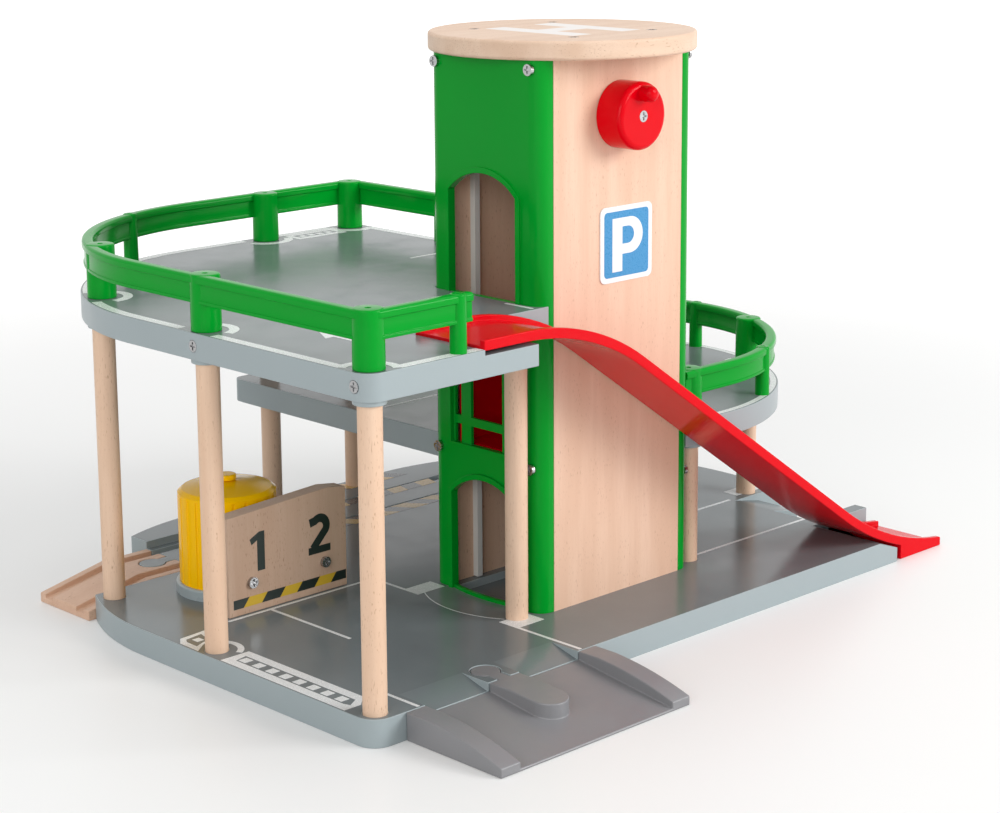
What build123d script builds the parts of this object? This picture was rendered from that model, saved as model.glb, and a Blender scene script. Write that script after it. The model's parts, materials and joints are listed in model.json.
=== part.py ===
from build123d import *
import os
from math import atan2, cos, degrees, pi, radians, sin

# Toy parking garage with a hand-cranked lift, in millimetres.
# Plan sizes are measured from the near left corner of the base: x along the base's front edge,
# y across it towards the railway, z up from the table.

# ---- base -------------------------------------------------------------------------------------
base_length = 371.0
base_depth = 269.0
base_thickness = 12.0
base_corner_radius = 9.0
left_end_radius = 114.0
right_end_radius = 130.0
base_wall = 3.0
base_pocket_depth = 6.5
rib_width = 2.5
rib_pitch = 58.0
landing_setback = 31.0
landing_slope_length = 14.0
landing_edge_height = 7.0
notch_depth = 38.0
finger_width = 7.5
notch_far_y = 98.0
side_recess_length = 19.0
side_recess_near_y = 72.0

# ---- pegs and sockets shared by the railway and the road ---------------------------------------
peg_head_diameter = 12.4
peg_neck_width = 6.4
peg_reach = 11.0
peg_clearance = 0.4
joint_gap = 0.3

# ---- railway ----------------------------------------------------------------------------------
track_setback = 41.5
track_width = 40.0
track_groove_width = 6.0
track_groove_depth = 3.0
track_groove_spacing = 25.0
track_start_x = 70.0
track_end_setback = 60.0
embankment_height = 3.5
embankment_end_x = 150.0
rail_ramp_tip_x = 9.0
rail_ramp_flat_x = 44.0
rail_ramp_tip_height = 4.5

# ---- front road ramp --------------------------------------------------------------------------
road_center_x = 71.0
road_width = 108.0
road_length = 54.0
curb_width = 10.5
curb_tip_height = 4.0
curb_flat_length = 12.0
road_edge_height = 8.4
road_tip_height = 1.2
tongue_width = 17.0
tongue_length = 34.0
tongue_tip_height = 10.4
recess_length = 16.0
recess_land_width = 18.0

# ---- dowels -----------------------------------------------------------------------------------
dowel_diameter = 10.0
dowel_fit = 0.1
dowel_socket_floor = 3.0
dowel_tip_chamfer = 0.6
dowel_edge_distance = 7.5
corner_dowel_inset = 8.0
side_dowel_y = 109.5
end_dowel_inset = 8.0
end_dowel_angle = 155.5
nose_dowel_inset = 6.8
nose_dowel_setback = 13.5
back_dowel_setback = 63.5
rear_dowel_inset = 8.0
mid_near_dowel_gap = 8.0
mid_dowel_inset = 6.2
mid_side_dowel_angle = -25.0
mid_back_dowel_angle = 27.5
boss_diameter = 13.6

# ---- decks ------------------------------------------------------------------------------------
level_pitch = 69.5
deck_sheet = 3.0
deck_skirt_height = 11.5
deck_skirt_wall = 2.5
boss_drop = 2.0
deck_corner_radius = 7.8
ramp_seat_start_x = 62.0
ramp_seat_depth = 2.3
nose_end_x = 92.0
ledge_end_x = 140.0
upper_deck_right_x = 223.0
upper_deck_back_corner_radius = 8.0
mid_deck_left_x = 141.5
mid_deck_inset = 6.0
mid_deck_front_y = 44.0
mid_deck_corner_radius = 5.0
mid_front_radius = 101.0

# ---- railings ---------------------------------------------------------------------------------
rail_height = 24.0
rail_band_height = 12.0
rail_band_width = 3.4
rail_bead_width = 5.4
rail_bead_height = 3.6
rail_foot_bead_width = 4.4
rail_foot_bead_height = 1.6
rail_inset = 4.0
rail_bend_radius = 6.0
sleeve_diameter = 13.0
sleeve_cap = 9.0
thin_post_diameter = 7.0
post_dimple_diameter = 2.4
post_dimple_depth = 1.5
rail_front_end_x = 57.0
front_thin_post_x = 51.0
arc_thin_post_angle = 110.8
tower_thin_post_y = 196.0
mid_rail_end_angle = 88.0
mid_thin_post_angles = (293.0, 2.5)

# ---- tower ------------------------------------------------------------------------------------
tower_left_x = 135.0
tower_width = 99.5
tower_front_y = 42.5
tower_depth = 70.0
tower_top = 257.0
tower_corner_radius = 7.0
shell_thickness = 3.0
shell_lip = 8.5
panel_thickness = 8.0
tower_gap = 0.3
door_width = 42.0
door_height = 55.0
door_arch_rise = 9.0
door_corner_radius = 3.0
moulding_width = 2.6
moulding_height = 1.2
window_pane_width = 20.0
window_side_pane_width = 4.0
window_bar = 6.3
window_low_pane_height = 8.6
window_cross_bar = 4.0
roof_diameter = 120.0
roof_thickness = 8.4
roof_edge_radius = 1.4

# ---- lift -------------------------------------------------------------------------------------
knob_diameter = 30.0
knob_depth = 14.0
knob_edge_radius = 2.6
knob_height = 230.5
knob_gap = 0.3
finger_peg_diameter = 7.0
finger_peg_length = 7.0
finger_peg_radius = 10.0
shaft_diameter = 6.0
shaft_fit = 0.05
pulley_width = 4.6
pulley_flange_height = 1.6
pulley_flange_width = 0.9
cord_diameter = 1.6
cord_clearance = 0.3
idler_height = 26.8
idler_pin_diameter = 4.0
idler_pin_bite = 4.0
pulley_gap = 0.7
car_width = 42.0
car_wall = 2.0
car_floor = 3.0
car_height = 54.0
car_end_gap = 1.5
car_roof_thickness = 2.5
pit_depth = 3.4
pit_margin = 1.0
guide_width = 3.0
guide_height = 3.0
guide_inset = 15.0
guide_clearance = 0.3
shoe_wall = 2.4
shoe_height = 9.0
clamp_length = 9.0
clamp_height = 8.0
clamp_rise = 31.5

# ---- red car ramp -----------------------------------------------------------------------------
ramp_width = 41.0
ramp_front_gap = 0.5
ramp_thickness = 4.4
ramp_floor = 2.0
ramp_flange = 3.0
ramp_angle = 34.6
ramp_crest_radius = 120.0
ramp_foot_radius = 170.0
ramp_crest_start_x = 85.8
ramp_lift_off_deck = 1.6
ramp_tip_angle = 7.0
ramp_tip_height = 4.3
ramp_foot_gap = 3.6
ramp_lug_length = 10.0
ramp_lug_width = 18.0
ramp_lug_depth = 2.6
ramp_lug_clearance = 0.4

# ---- fuel tank and number board -----------------------------------------------------------------
tank_center = (63.4, 173.2)
tank_diameter = 45.0
tank_wall = 2.0
tank_shoulder_height = 46.5
tank_lid_rise = 5.0
tank_cap_diameter = 9.0
tank_cap_height = 2.4
tank_collar_diameter = 48.6
tank_collar_height = 5.0
tank_flutes = 24
tank_flute_radius = 0.9
board_left_x = 35.5
board_length = 68.0
board_front_y = 137.0
board_thickness = 8.0
board_left_height = 45.6
board_peak_height = 48.6
board_right_height = 47.0
board_peak_offset = 57.0
board_screw_height = 14.0
board_screw_offsets = (12.9, 54.8)
board_lug_width = 12.0
board_lug_thickness = 4.0
board_lug_height = 20.0
sign_width = 33.4
sign_height = 34.0
sign_thickness = 0.6
sign_bottom = 155.8
sign_offset_x = 4.2
sign_corner_radius = 3.0

# ---- screws -----------------------------------------------------------------------------------
screw_head_diameter = 5.0
screw_head_height = 1.6
screw_shank_diameter = 2.6
screw_length = 11.0
screw_slot_width = 0.9
screw_slot_depth = 0.7
screw_fit = 0.1
deck_screw_height = 5.7
left_shell_screw_heights = (78.0, 253.0)
right_shell_screw_heights = (58.0, 253.0)
shell_screw_inset = 5.6
roof_screw_inset = 16.0

# ---- worked out from the sizes above ------------------------------------------------------------
ground = base_thickness
landing_end_x = base_length - landing_setback
landing_slope_start_x = landing_end_x - landing_slope_length
notch_x = base_length - notch_depth
side_recess_end_x = notch_x + side_recess_length
track_end_x = base_length - track_end_setback
track_center_y = base_depth - track_setback
mid_level = ground + level_pitch
upper_level = mid_level + level_pitch
dowel_hole = dowel_diameter / 2 + dowel_fit
tower_right_x = tower_left_x + tower_width
tower_back_y = tower_front_y + tower_depth
tower_center_x = tower_left_x + tower_width / 2
tower_center_y = tower_front_y + tower_depth / 2
ramp_far_y = ramp_front_gap + ramp_width
deck_ledge_y = ramp_far_y + ramp_front_gap
end_arc_center = (left_end_radius, base_depth - left_end_radius)
right_arc_center = (base_length - right_end_radius, base_depth - right_end_radius)
mid_deck_right_x = base_length - mid_deck_inset
mid_back_radius = base_depth - mid_deck_front_y - mid_front_radius
mid_front_center = (mid_deck_right_x - mid_front_radius, mid_deck_front_y + mid_front_radius)
mid_back_center = (mid_deck_right_x - mid_back_radius, mid_front_center[1])


def polar(center, radius, angle):
    return (center[0] + radius * cos(radians(angle)), center[1] + radius * sin(radians(angle)))


corner_dowel = (corner_dowel_inset, corner_dowel_inset)
side_dowel = (dowel_edge_distance, side_dowel_y)
end_dowel = polar(end_arc_center, left_end_radius - end_dowel_inset, end_dowel_angle)
nose_dowel = (ledge_end_x - nose_dowel_setback, deck_ledge_y + nose_dowel_inset)
back_dowel = (upper_deck_right_x - back_dowel_setback, base_depth - dowel_edge_distance)
rear_dowel = (upper_deck_right_x - rear_dowel_inset, base_depth - dowel_edge_distance)
mid_near_dowel = (tower_right_x + mid_near_dowel_gap, mid_deck_front_y + dowel_edge_distance)
mid_side_dowel = polar(mid_front_center, mid_front_radius - mid_dowel_inset, mid_side_dowel_angle)
mid_back_dowel = polar(mid_back_center, mid_back_radius - mid_dowel_inset, mid_back_dowel_angle)
upper_dowels = (corner_dowel, side_dowel, end_dowel, back_dowel, rear_dowel)
mid_dowels = (mid_near_dowel, mid_side_dowel, mid_back_dowel)
pulley_radius = level_pitch / (2 * pi)
pulley_root = pulley_radius - cord_diameter / 2 - cord_clearance
pulley_flange_radius = pulley_radius + cord_diameter / 2 + pulley_flange_height - 0.8
inner_front_y = tower_front_y + panel_thickness
inner_back_y = tower_back_y - panel_thickness
pulley_y = inner_front_y + pulley_gap
cord_y = pulley_y + pulley_width / 2
car_left_x = tower_left_x + shell_thickness + car_end_gap
car_length = tower_width - 2 * (shell_thickness + car_end_gap)
car_front_y = tower_center_y - car_width / 2

# The ramp's rim, floor and underside are parallel curves about the same two centres.
slope = radians(ramp_angle)
crest_center = (ramp_crest_start_x, upper_level - ramp_seat_depth + ramp_lift_off_deck - ramp_crest_radius)
rim_crest = ramp_crest_radius + ramp_thickness
rim_slope_top = (crest_center[0] + rim_crest * sin(slope), crest_center[1] + rim_crest * cos(slope))
rim_slope_foot_z = ramp_tip_height + ramp_foot_radius * (cos(radians(ramp_tip_angle)) - cos(slope))
rim_slope_foot_x = rim_slope_top[0] + (rim_slope_top[1] - rim_slope_foot_z) / (sin(slope) / cos(slope))
foot_center = (rim_slope_foot_x + ramp_foot_radius * sin(slope), rim_slope_foot_z + ramp_foot_radius * cos(slope))
ramp_tip_x = foot_center[0] - ramp_foot_radius * sin(radians(ramp_tip_angle))

# The origin is under the middle of the whole garage, on the table.
origin_x = -ramp_tip_x / 2
origin_y = -(base_depth - road_length) / 2


def plan(height):
    """A level plane whose sketches are drawn in plan sizes."""
    return Plane((origin_x, origin_y, height))


def front_view(y):
    """An upright plane at depth y: x to the right, z up, extruding towards the front."""
    return Plane((origin_x, origin_y + y, 0), x_dir=(1, 0, 0), z_dir=(0, -1, 0))


def side_view(x):
    """An upright plane at length x: y across, z up, extruding towards the right."""
    return Plane((origin_x + x, origin_y, 0), x_dir=(0, 1, 0), z_dir=(1, 0, 0))


def block(low, high, mode=Mode.ADD):
    """A box between two corners given in plan sizes, inside the open part."""
    with BuildSketch(plan(low[2])) as area:
        with Locations(((low[0] + high[0]) / 2, (low[1] + high[1]) / 2)):
            Rectangle(high[0] - low[0], high[1] - low[1])
    extrude(area.sketch, amount=high[2] - low[2], mode=mode)


def columns(points, radius, bottom, top, mode=Mode.ADD):
    """Upright cylinders at plan points, inside the open part."""
    with BuildSketch(plan(bottom)) as area:
        with Locations(*points):
            Circle(radius)
    extrude(area.sketch, amount=top - bottom, mode=mode)


def bores(plane, points, radius, depth):
    """Round holes cut down from a plane at points in it, inside the open part."""
    with BuildSketch(plane) as area:
        with Locations(*points):
            Circle(radius)
    extrude(area.sketch, amount=-depth, mode=Mode.SUBTRACT)


def save(part, node):
    part.label = node
    export_step(part, f"parts/{node}.step")


os.makedirs("parts", exist_ok=True)


# ---- outlines ---------------------------------------------------------------------------------
def base_outline():
    """The base plate's plan: straight front and left edges, a round left end and a round far end."""
    finger_near_y = deck_ledge_y + joint_gap
    finger_far_y = finger_near_y + finger_width
    with BuildSketch() as outline:
        with BuildLine():
            Polyline(
                (0, end_arc_center[1]),
                (0, 0),
                (landing_end_x, 0),
                (landing_end_x, finger_near_y),
                (base_length, finger_near_y),
                (base_length, finger_far_y),
                (notch_x, finger_far_y),
                (notch_x, side_recess_near_y),
                (side_recess_end_x, side_recess_near_y),
                (side_recess_end_x, notch_far_y),
                (base_length, notch_far_y),
                (base_length, right_arc_center[1]),
            )
            CenterArc(right_arc_center, right_end_radius, 0, 90)
            Line((right_arc_center[0], base_depth), (left_end_radius, base_depth))
            CenterArc(end_arc_center, left_end_radius, 90, 90)
        make_face()
        near_corner = outline.vertices().sort_by_distance((0, 0))[0]
        fillet(near_corner, base_corner_radius)
    return outline.sketch


def upper_deck_outline():
    with BuildSketch() as outline:
        with BuildLine():
            Polyline(
                (0, end_arc_center[1]),
                (0, 0),
                (nose_end_x, 0),
                (nose_end_x, deck_ledge_y),
                (ledge_end_x, deck_ledge_y),
                (ledge_end_x, tower_center_y),
                (upper_deck_right_x, tower_center_y),
                (upper_deck_right_x, base_depth),
                (left_end_radius, base_depth),
            )
            CenterArc(end_arc_center, left_end_radius, 90, 90)
        make_face()
        fillet(outline.vertices().sort_by_distance((0, 0))[0], deck_corner_radius)
        back_corner = outline.vertices().sort_by_distance((upper_deck_right_x, base_depth))[0]
        fillet(back_corner, upper_deck_back_corner_radius)
    return outline.sketch


def mid_deck_outline():
    with BuildSketch() as outline:
        with BuildLine():
            Polyline(
                (mid_back_center[0], mid_back_center[1] + mid_back_radius),
                (mid_deck_left_x, mid_back_center[1] + mid_back_radius),
                (mid_deck_left_x, tower_center_y),
                (tower_center_x, tower_center_y),
                (tower_center_x, mid_deck_front_y),
                (mid_front_center[0], mid_deck_front_y),
            )
            CenterArc(mid_front_center, mid_front_radius, -90, 90)
            CenterArc(mid_back_center, mid_back_radius, 0, 90)
        make_face()
        far_corner = outline.vertices().sort_by_distance((mid_deck_left_x, base_depth))[0]
        fillet(far_corner, mid_deck_corner_radius)
    return outline.sketch


def tower_outline(gap=0.0):
    """The tower's plan, with rounded corners, grown by a gap all round."""
    with BuildSketch() as outline:
        with Locations((tower_center_x, tower_center_y)):
            RectangleRounded(tower_width + 2 * gap, tower_depth + 2 * gap, tower_corner_radius + gap)
    return outline.sketch


base_plan = base_outline()
upper_deck_plan = upper_deck_outline()
mid_deck_plan = mid_deck_outline()
tower_plan = tower_outline()
tower_clearance_plan = tower_outline(tower_gap)
base_inside_plan = offset(base_plan, amount=-base_wall)


# ---- base -------------------------------------------------------------------------------------
def keyhole(center, towards, neck_width, head_diameter):
    """A peg's plan, or its socket's: a round head on a straight neck along x or y."""
    with Locations(center):
        Circle(head_diameter / 2)
    middle = ((center[0] + towards[0]) / 2, (center[1] + towards[1]) / 2)
    run_x = abs(center[0] - towards[0])
    run_y = abs(center[1] - towards[1])
    with Locations(middle):
        Rectangle(max(run_x, neck_width), max(run_y, neck_width))


road_socket = (road_center_x, peg_reach)
rail_peg = (track_start_x - peg_reach, track_center_y)
rail_socket = (track_end_x - peg_reach, track_center_y)
board_screw_points = [(board_left_x + across, ground + board_screw_height) for across in board_screw_offsets]
screw_hole = screw_shank_diameter / 2 + screw_fit
head_hole = screw_head_diameter / 2 + screw_fit
track_low_y = track_center_y - track_width / 2
track_high_y = track_center_y + track_width / 2
road_left_x = road_center_x - road_width / 2
road_right_x = road_center_x + road_width / 2
all_dowels = upper_dowels + (nose_dowel,) + mid_dowels
panel_screw_x = (tower_center_x - tower_width / 4, tower_center_x + tower_width / 4)
panel_mid_y = (tower_front_y + panel_thickness / 2, tower_back_y - panel_thickness / 2)
tower_screw_points = [(x, y) for x in panel_screw_x for y in panel_mid_y]


def recess(plane, width, high_end, low_end, drop):
    """A slope cut into the base's top: level at its high end, sunk by the drop at its low end."""
    with BuildSketch(plane) as wedge:
        Polygon((high_end, ground), (low_end, ground), (low_end, ground - drop), align=None)
    extrude(wedge.sketch, amount=width, mode=Mode.SUBTRACT)


with BuildPart() as base_plate:
    with BuildSketch(plan(0)):
        add(base_plan)
    extrude(amount=base_thickness)
    # A hollow underside, with ribs, bosses and solid ground where the top is cut.
    with BuildSketch(plan(0)):
        add(base_inside_plan)
        with Locations((base_length / 2, base_depth / 2)):
            with GridLocations(rib_pitch, 0, int(base_length / rib_pitch) + 1, 1):
                Rectangle(rib_width, base_depth, mode=Mode.SUBTRACT)
            with GridLocations(0, rib_pitch, 1, int(base_depth / rib_pitch) + 1):
                Rectangle(base_length, rib_width, mode=Mode.SUBTRACT)
        with Locations(*all_dowels, *tower_screw_points):
            Circle(boss_diameter / 2, mode=Mode.SUBTRACT)
        with Locations((road_center_x, recess_length / 2)):
            Rectangle(road_width, recess_length + 2 * base_wall, mode=Mode.SUBTRACT)
        with Locations((base_length, notch_far_y / 2)):
            Rectangle(
                2 * (base_length - landing_slope_start_x + base_wall),
                notch_far_y + 2 * base_wall,
                mode=Mode.SUBTRACT,
            )
        with Locations((0, base_depth)):
            Rectangle(
                2 * (track_start_x + base_wall),
                2 * (base_depth - track_low_y + base_wall),
                mode=Mode.SUBTRACT,
            )
        with Locations((base_length, track_center_y)):
            Rectangle(
                2 * (base_length - track_end_x + peg_reach + peg_head_diameter),
                track_width + 2 * base_wall,
                mode=Mode.SUBTRACT,
            )
    extrude(amount=base_pocket_depth, mode=Mode.SUBTRACT)
    # The raised bank beyond the railway.
    with BuildSketch(plan(ground)):
        add(base_plan)
        with Locations(((track_start_x + embankment_end_x) / 2, (track_high_y + base_depth) / 2)):
            Rectangle(
                embankment_end_x - track_start_x, base_depth - track_high_y, mode=Mode.INTERSECT
            )
    extrude(amount=embankment_height)
    # The bay for the wooden ramp, with the peg left standing, and the flat end of the track.
    block((-1, track_low_y, -1), (track_start_x, base_depth + 1, 2 * base_thickness), Mode.SUBTRACT)
    with BuildSketch(plan(0)):
        keyhole(rail_peg, (track_start_x + 1, track_center_y), peg_neck_width, peg_head_diameter)
    extrude(amount=base_thickness)
    block((track_end_x, track_low_y, -1), (base_length, base_depth, 2 * base_thickness), Mode.SUBTRACT)
    # Sockets for road and rail pegs.
    with BuildSketch(plan(0)):
        neck = peg_neck_width + 2 * peg_clearance
        head = peg_head_diameter + 2 * peg_clearance
        keyhole(road_socket, (road_center_x, -1), neck, head)
        keyhole(rail_socket, (track_end_x + 1, track_center_y), neck, head)
    extrude(amount=base_thickness, mode=Mode.SUBTRACT)
    # Two running grooves for flanged wheels.
    for side in (-1, 1):
        groove_y = track_center_y + side * track_groove_spacing / 2
        block(
            (track_start_x - 1, groove_y - track_groove_width / 2, ground - track_groove_depth),
            (track_end_x + 1, groove_y + track_groove_width / 2, ground + embankment_height),
            Mode.SUBTRACT,
        )
    # Slopes down to the road ramp on both sides of its peg, one at the side exit, and the landing.
    road_drop = ground - road_edge_height
    wheel_lane = (road_width - recess_land_width) / 2 - curb_width
    for lane_x in (road_left_x + curb_width, road_center_x + recess_land_width / 2):
        recess(side_view(lane_x), wheel_lane, recess_length, 0, road_drop)
    exit_width = notch_far_y - side_recess_near_y
    recess(front_view(notch_far_y), exit_width, notch_x, side_recess_end_x, road_drop)
    landing_drop = ground - landing_edge_height
    recess(front_view(deck_ledge_y), deck_ledge_y, landing_slope_start_x, landing_end_x, landing_drop)
    # The pit that the lift car's floor sinks into.
    block(
        (car_left_x - pit_margin, car_front_y - pit_margin, ground - pit_depth),
        (car_left_x + car_length + pit_margin, car_front_y + car_width + pit_margin, ground + 1),
        Mode.SUBTRACT,
    )
    # Lugs that the number board is screwed to.
    for across in board_screw_offsets:
        block(
            (board_left_x + across - board_lug_width / 2, board_front_y + board_thickness, ground),
            (
                board_left_x + across + board_lug_width / 2,
                board_front_y + board_thickness + board_lug_thickness,
                ground + board_lug_height,
            ),
        )
    bores(front_view(board_front_y), board_screw_points, screw_hole, 2 * board_thickness)
    # Dowel sockets and the screw holes under them and under the tower.
    columns(all_dowels, dowel_hole, dowel_socket_floor, base_thickness + 1, Mode.SUBTRACT)
    screw_points = all_dowels + tuple(tower_screw_points)
    columns(screw_points, screw_hole, -1, base_thickness + 1, Mode.SUBTRACT)
    columns(screw_points, head_hole, -1, screw_head_height + 0.1, Mode.SUBTRACT)
save(base_plate.part, "base_plate")


# ---- dowels -----------------------------------------------------------------------------------
def dowel(point, top, side_hole=False):
    """A beech rod standing in its base socket, with chamfered ends and a screw hole below."""
    with BuildPart() as rod:
        columns([point], dowel_diameter / 2, dowel_socket_floor, top)
        chamfer(rod.edges().filter_by(GeomType.CIRCLE), dowel_tip_chamfer)
        columns([point], screw_hole, dowel_socket_floor, screw_length + 1, Mode.SUBTRACT)
        if side_hole:
            hole = (point[1], upper_level - deck_screw_height)
            bores(side_view(point[0] + 1), [hole], screw_hole, dowel_diameter)
    return rod.part


upper_dowel_top = upper_level + rail_height - sleeve_cap
mid_dowel_top = mid_level + rail_height - sleeve_cap
nose_dowel_top = upper_level - deck_sheet
for number, point in enumerate(upper_dowels, 1):
    side_hole = point in (corner_dowel, side_dowel)
    save(dowel(point, upper_dowel_top, side_hole), f"tall_dowel_{number}")
save(dowel(nose_dowel, nose_dowel_top), f"tall_dowel_{len(upper_dowels) + 1}")
for number, point in enumerate(mid_dowels, 1):
    save(dowel(point, mid_dowel_top), f"short_dowel_{number}")


# ---- decks ------------------------------------------------------------------------------------
def deck_shell(deck_plan, level, bosses):
    """A moulded tray upside down: a sheet on a skirt, with ribs and round bosses for dowels."""
    skirt_bottom = level - deck_skirt_height
    sheet_bottom = level - deck_sheet
    with BuildSketch(plan(skirt_bottom)) as whole:
        add(deck_plan)
        add(tower_clearance_plan, mode=Mode.SUBTRACT)
    extrude(whole.sketch, amount=deck_skirt_height)
    with BuildSketch(plan(skirt_bottom)) as hollow:
        add(offset(deck_plan, amount=-deck_skirt_wall, mode=Mode.PRIVATE))
        add(tower_outline(tower_gap + deck_skirt_wall), mode=Mode.SUBTRACT)
        with Locations((base_length / 2, base_depth / 2)):
            with GridLocations(rib_pitch, 0, int(base_length / rib_pitch) + 1, 1):
                Rectangle(rib_width, base_depth, mode=Mode.SUBTRACT)
            with GridLocations(0, rib_pitch, 1, int(base_depth / rib_pitch) + 1):
                Rectangle(base_length, rib_width, mode=Mode.SUBTRACT)
    extrude(hollow.sketch, amount=sheet_bottom - skirt_bottom, mode=Mode.SUBTRACT)
    columns(bosses, boss_diameter / 2, skirt_bottom - boss_drop, sheet_bottom)


deck_screw_points = [(y, upper_level - deck_screw_height) for y in (corner_dowel[1], side_dowel[1])]

with BuildPart() as upper_deck:
    deck_shell(upper_deck_plan, upper_level, upper_dowels + (nose_dowel,))
    # The seat that the ramp's top end drops into, on a thicker patch of sheet.
    seat_z = upper_level - ramp_seat_depth
    block(
        (ramp_seat_start_x - deck_skirt_wall, deck_skirt_wall, seat_z - deck_sheet),
        (nose_end_x - deck_skirt_wall, deck_ledge_y, seat_z),
    )
    block((ramp_seat_start_x, -1, seat_z), (nose_end_x + 1, deck_ledge_y, upper_level + 1), Mode.SUBTRACT)
    lug_low = (
        ramp_crest_start_x - ramp_lug_length - ramp_lug_clearance,
        ramp_front_gap + (ramp_width - ramp_lug_width) / 2 - ramp_lug_clearance,
    )
    lug_high = (
        ramp_crest_start_x + ramp_lug_clearance,
        ramp_front_gap + (ramp_width + ramp_lug_width) / 2 + ramp_lug_clearance,
    )
    block((*lug_low, seat_z - 2 * deck_sheet), (*lug_high, seat_z + 1), Mode.SUBTRACT)
    columns(upper_dowels, dowel_hole, 0, upper_level + 1, Mode.SUBTRACT)
    columns([nose_dowel], dowel_hole, 0, nose_dowel_top + joint_gap, Mode.SUBTRACT)
    # Screw holes through the skirt beside the two dowels at the left edge.
    bores(side_view(corner_dowel[0]), deck_screw_points, screw_hole, 2 * corner_dowel[0])
    bores(side_view(screw_head_height + 0.1), deck_screw_points, head_hole, 2 * screw_head_height)
save(upper_deck.part, "upper_deck")

with BuildPart() as mid_deck:
    mid_bosses = mid_dowels + (back_dowel, rear_dowel)
    deck_shell(mid_deck_plan, mid_level, mid_bosses)
    columns(mid_bosses, dowel_hole, 0, upper_level, Mode.SUBTRACT)
save(mid_deck.part, "mid_deck")


# ---- railings ---------------------------------------------------------------------------------
def rail(route, level):
    """A band with a bead along its top and a small one along its foot, following a route."""
    top = level + rail_height
    bottom = top - rail_band_height
    for low, high, width in (
        (bottom, top, rail_band_width),
        (top - rail_bead_height, top, rail_bead_width),
        (bottom, bottom + rail_foot_bead_height, rail_foot_bead_width),
    ):
        with BuildSketch(plan(low)) as band:
            trace(route, line_width=width)
        extrude(band.sketch, amount=high - low)


def posts(sleeves, thin_posts, level):
    """Sleeves that cap the dowels, thin posts between them, and a dimple on each top."""
    top = level + rail_height
    columns(sleeves, sleeve_diameter / 2, level, top)
    columns(thin_posts, thin_post_diameter / 2, level, top)
    columns(sleeves, dowel_hole, level - 1, top - sleeve_cap + joint_gap, Mode.SUBTRACT)
    columns(
        list(sleeves) + list(thin_posts),
        post_dimple_diameter / 2,
        top - post_dimple_depth,
        top + 1,
        Mode.SUBTRACT,
    )


rail_edge_y = base_depth - rail_inset
rail_edge_x = upper_deck_right_x - rail_inset


with BuildLine() as upper_route:
    FilletPolyline(
        (rail_front_end_x, rail_inset),
        (rail_inset, rail_inset),
        (rail_inset, end_arc_center[1]),
        radius=rail_bend_radius,
    )
    CenterArc(end_arc_center, left_end_radius - rail_inset, 90, 90)
    FilletPolyline(
        (left_end_radius, rail_edge_y),
        (rail_edge_x, rail_edge_y),
        (rail_edge_x, tower_back_y + tower_gap),
        radius=rail_bend_radius,
    )

with BuildPart() as upper_railing:
    rail(upper_route.line, upper_level)
    posts(
        upper_dowels,
        [
            (front_thin_post_x, rail_inset),
            polar(end_arc_center, left_end_radius - rail_inset, arc_thin_post_angle),
            (rail_edge_x, tower_thin_post_y),
        ],
        upper_level,
    )
save(upper_railing.part, "upper_railing")

mid_rail_front = mid_front_radius - rail_inset
mid_rail_back = mid_back_radius - rail_inset
with BuildLine() as mid_route:
    Line(
        (tower_right_x + tower_gap, mid_deck_front_y + rail_inset),
        (mid_front_center[0], mid_deck_front_y + rail_inset),
    )
    CenterArc(mid_front_center, mid_rail_front, -90, 90)
    CenterArc(mid_back_center, mid_rail_back, 0, mid_rail_end_angle)

with BuildPart() as mid_railing:
    rail(mid_route.line, mid_level)
    posts(
        mid_dowels,
        [
            polar(mid_front_center, mid_rail_front, mid_thin_post_angles[0]),
            polar(mid_back_center, mid_rail_back, mid_thin_post_angles[1]),
            polar(mid_back_center, mid_rail_back, mid_rail_end_angle),
        ],
        mid_level,
    )
save(mid_railing.part, "mid_railing")


# ---- tower ------------------------------------------------------------------------------------
def doorway(level, grow=0.0, mode=Mode.ADD):
    """An arched opening seen from the side, standing on a level, grown at its sides and top."""
    half = door_width / 2 + grow
    spring = level + door_height - door_arch_rise
    with BuildLine() as edge:
        Polyline(
            (tower_center_y - half, spring),
            (tower_center_y - half, level),
            (tower_center_y + half, level),
            (tower_center_y + half, spring),
        )
        ThreePointArc(
            (tower_center_y + half, spring),
            (tower_center_y, level + door_height + grow),
            (tower_center_y - half, spring),
        )
    make_face(edge.edges(), mode=mode)


def panes(level):
    """The window's openings: a wide pane between two narrow ones, in a low and a tall row."""
    low_top = level + window_low_pane_height
    tall_bottom = low_top + window_cross_bar
    tall_top = level + door_height - door_arch_rise
    side_offset = window_pane_width / 2 + window_bar + window_side_pane_width / 2
    for across, width in (
        (-side_offset, window_side_pane_width),
        (0.0, window_pane_width),
        (side_offset, window_side_pane_width),
    ):
        for low, high in ((level, low_top), (tall_bottom, tall_top)):
            with Locations((tower_center_y + across, (low + high) / 2)):
                Rectangle(width, high - low)


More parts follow.
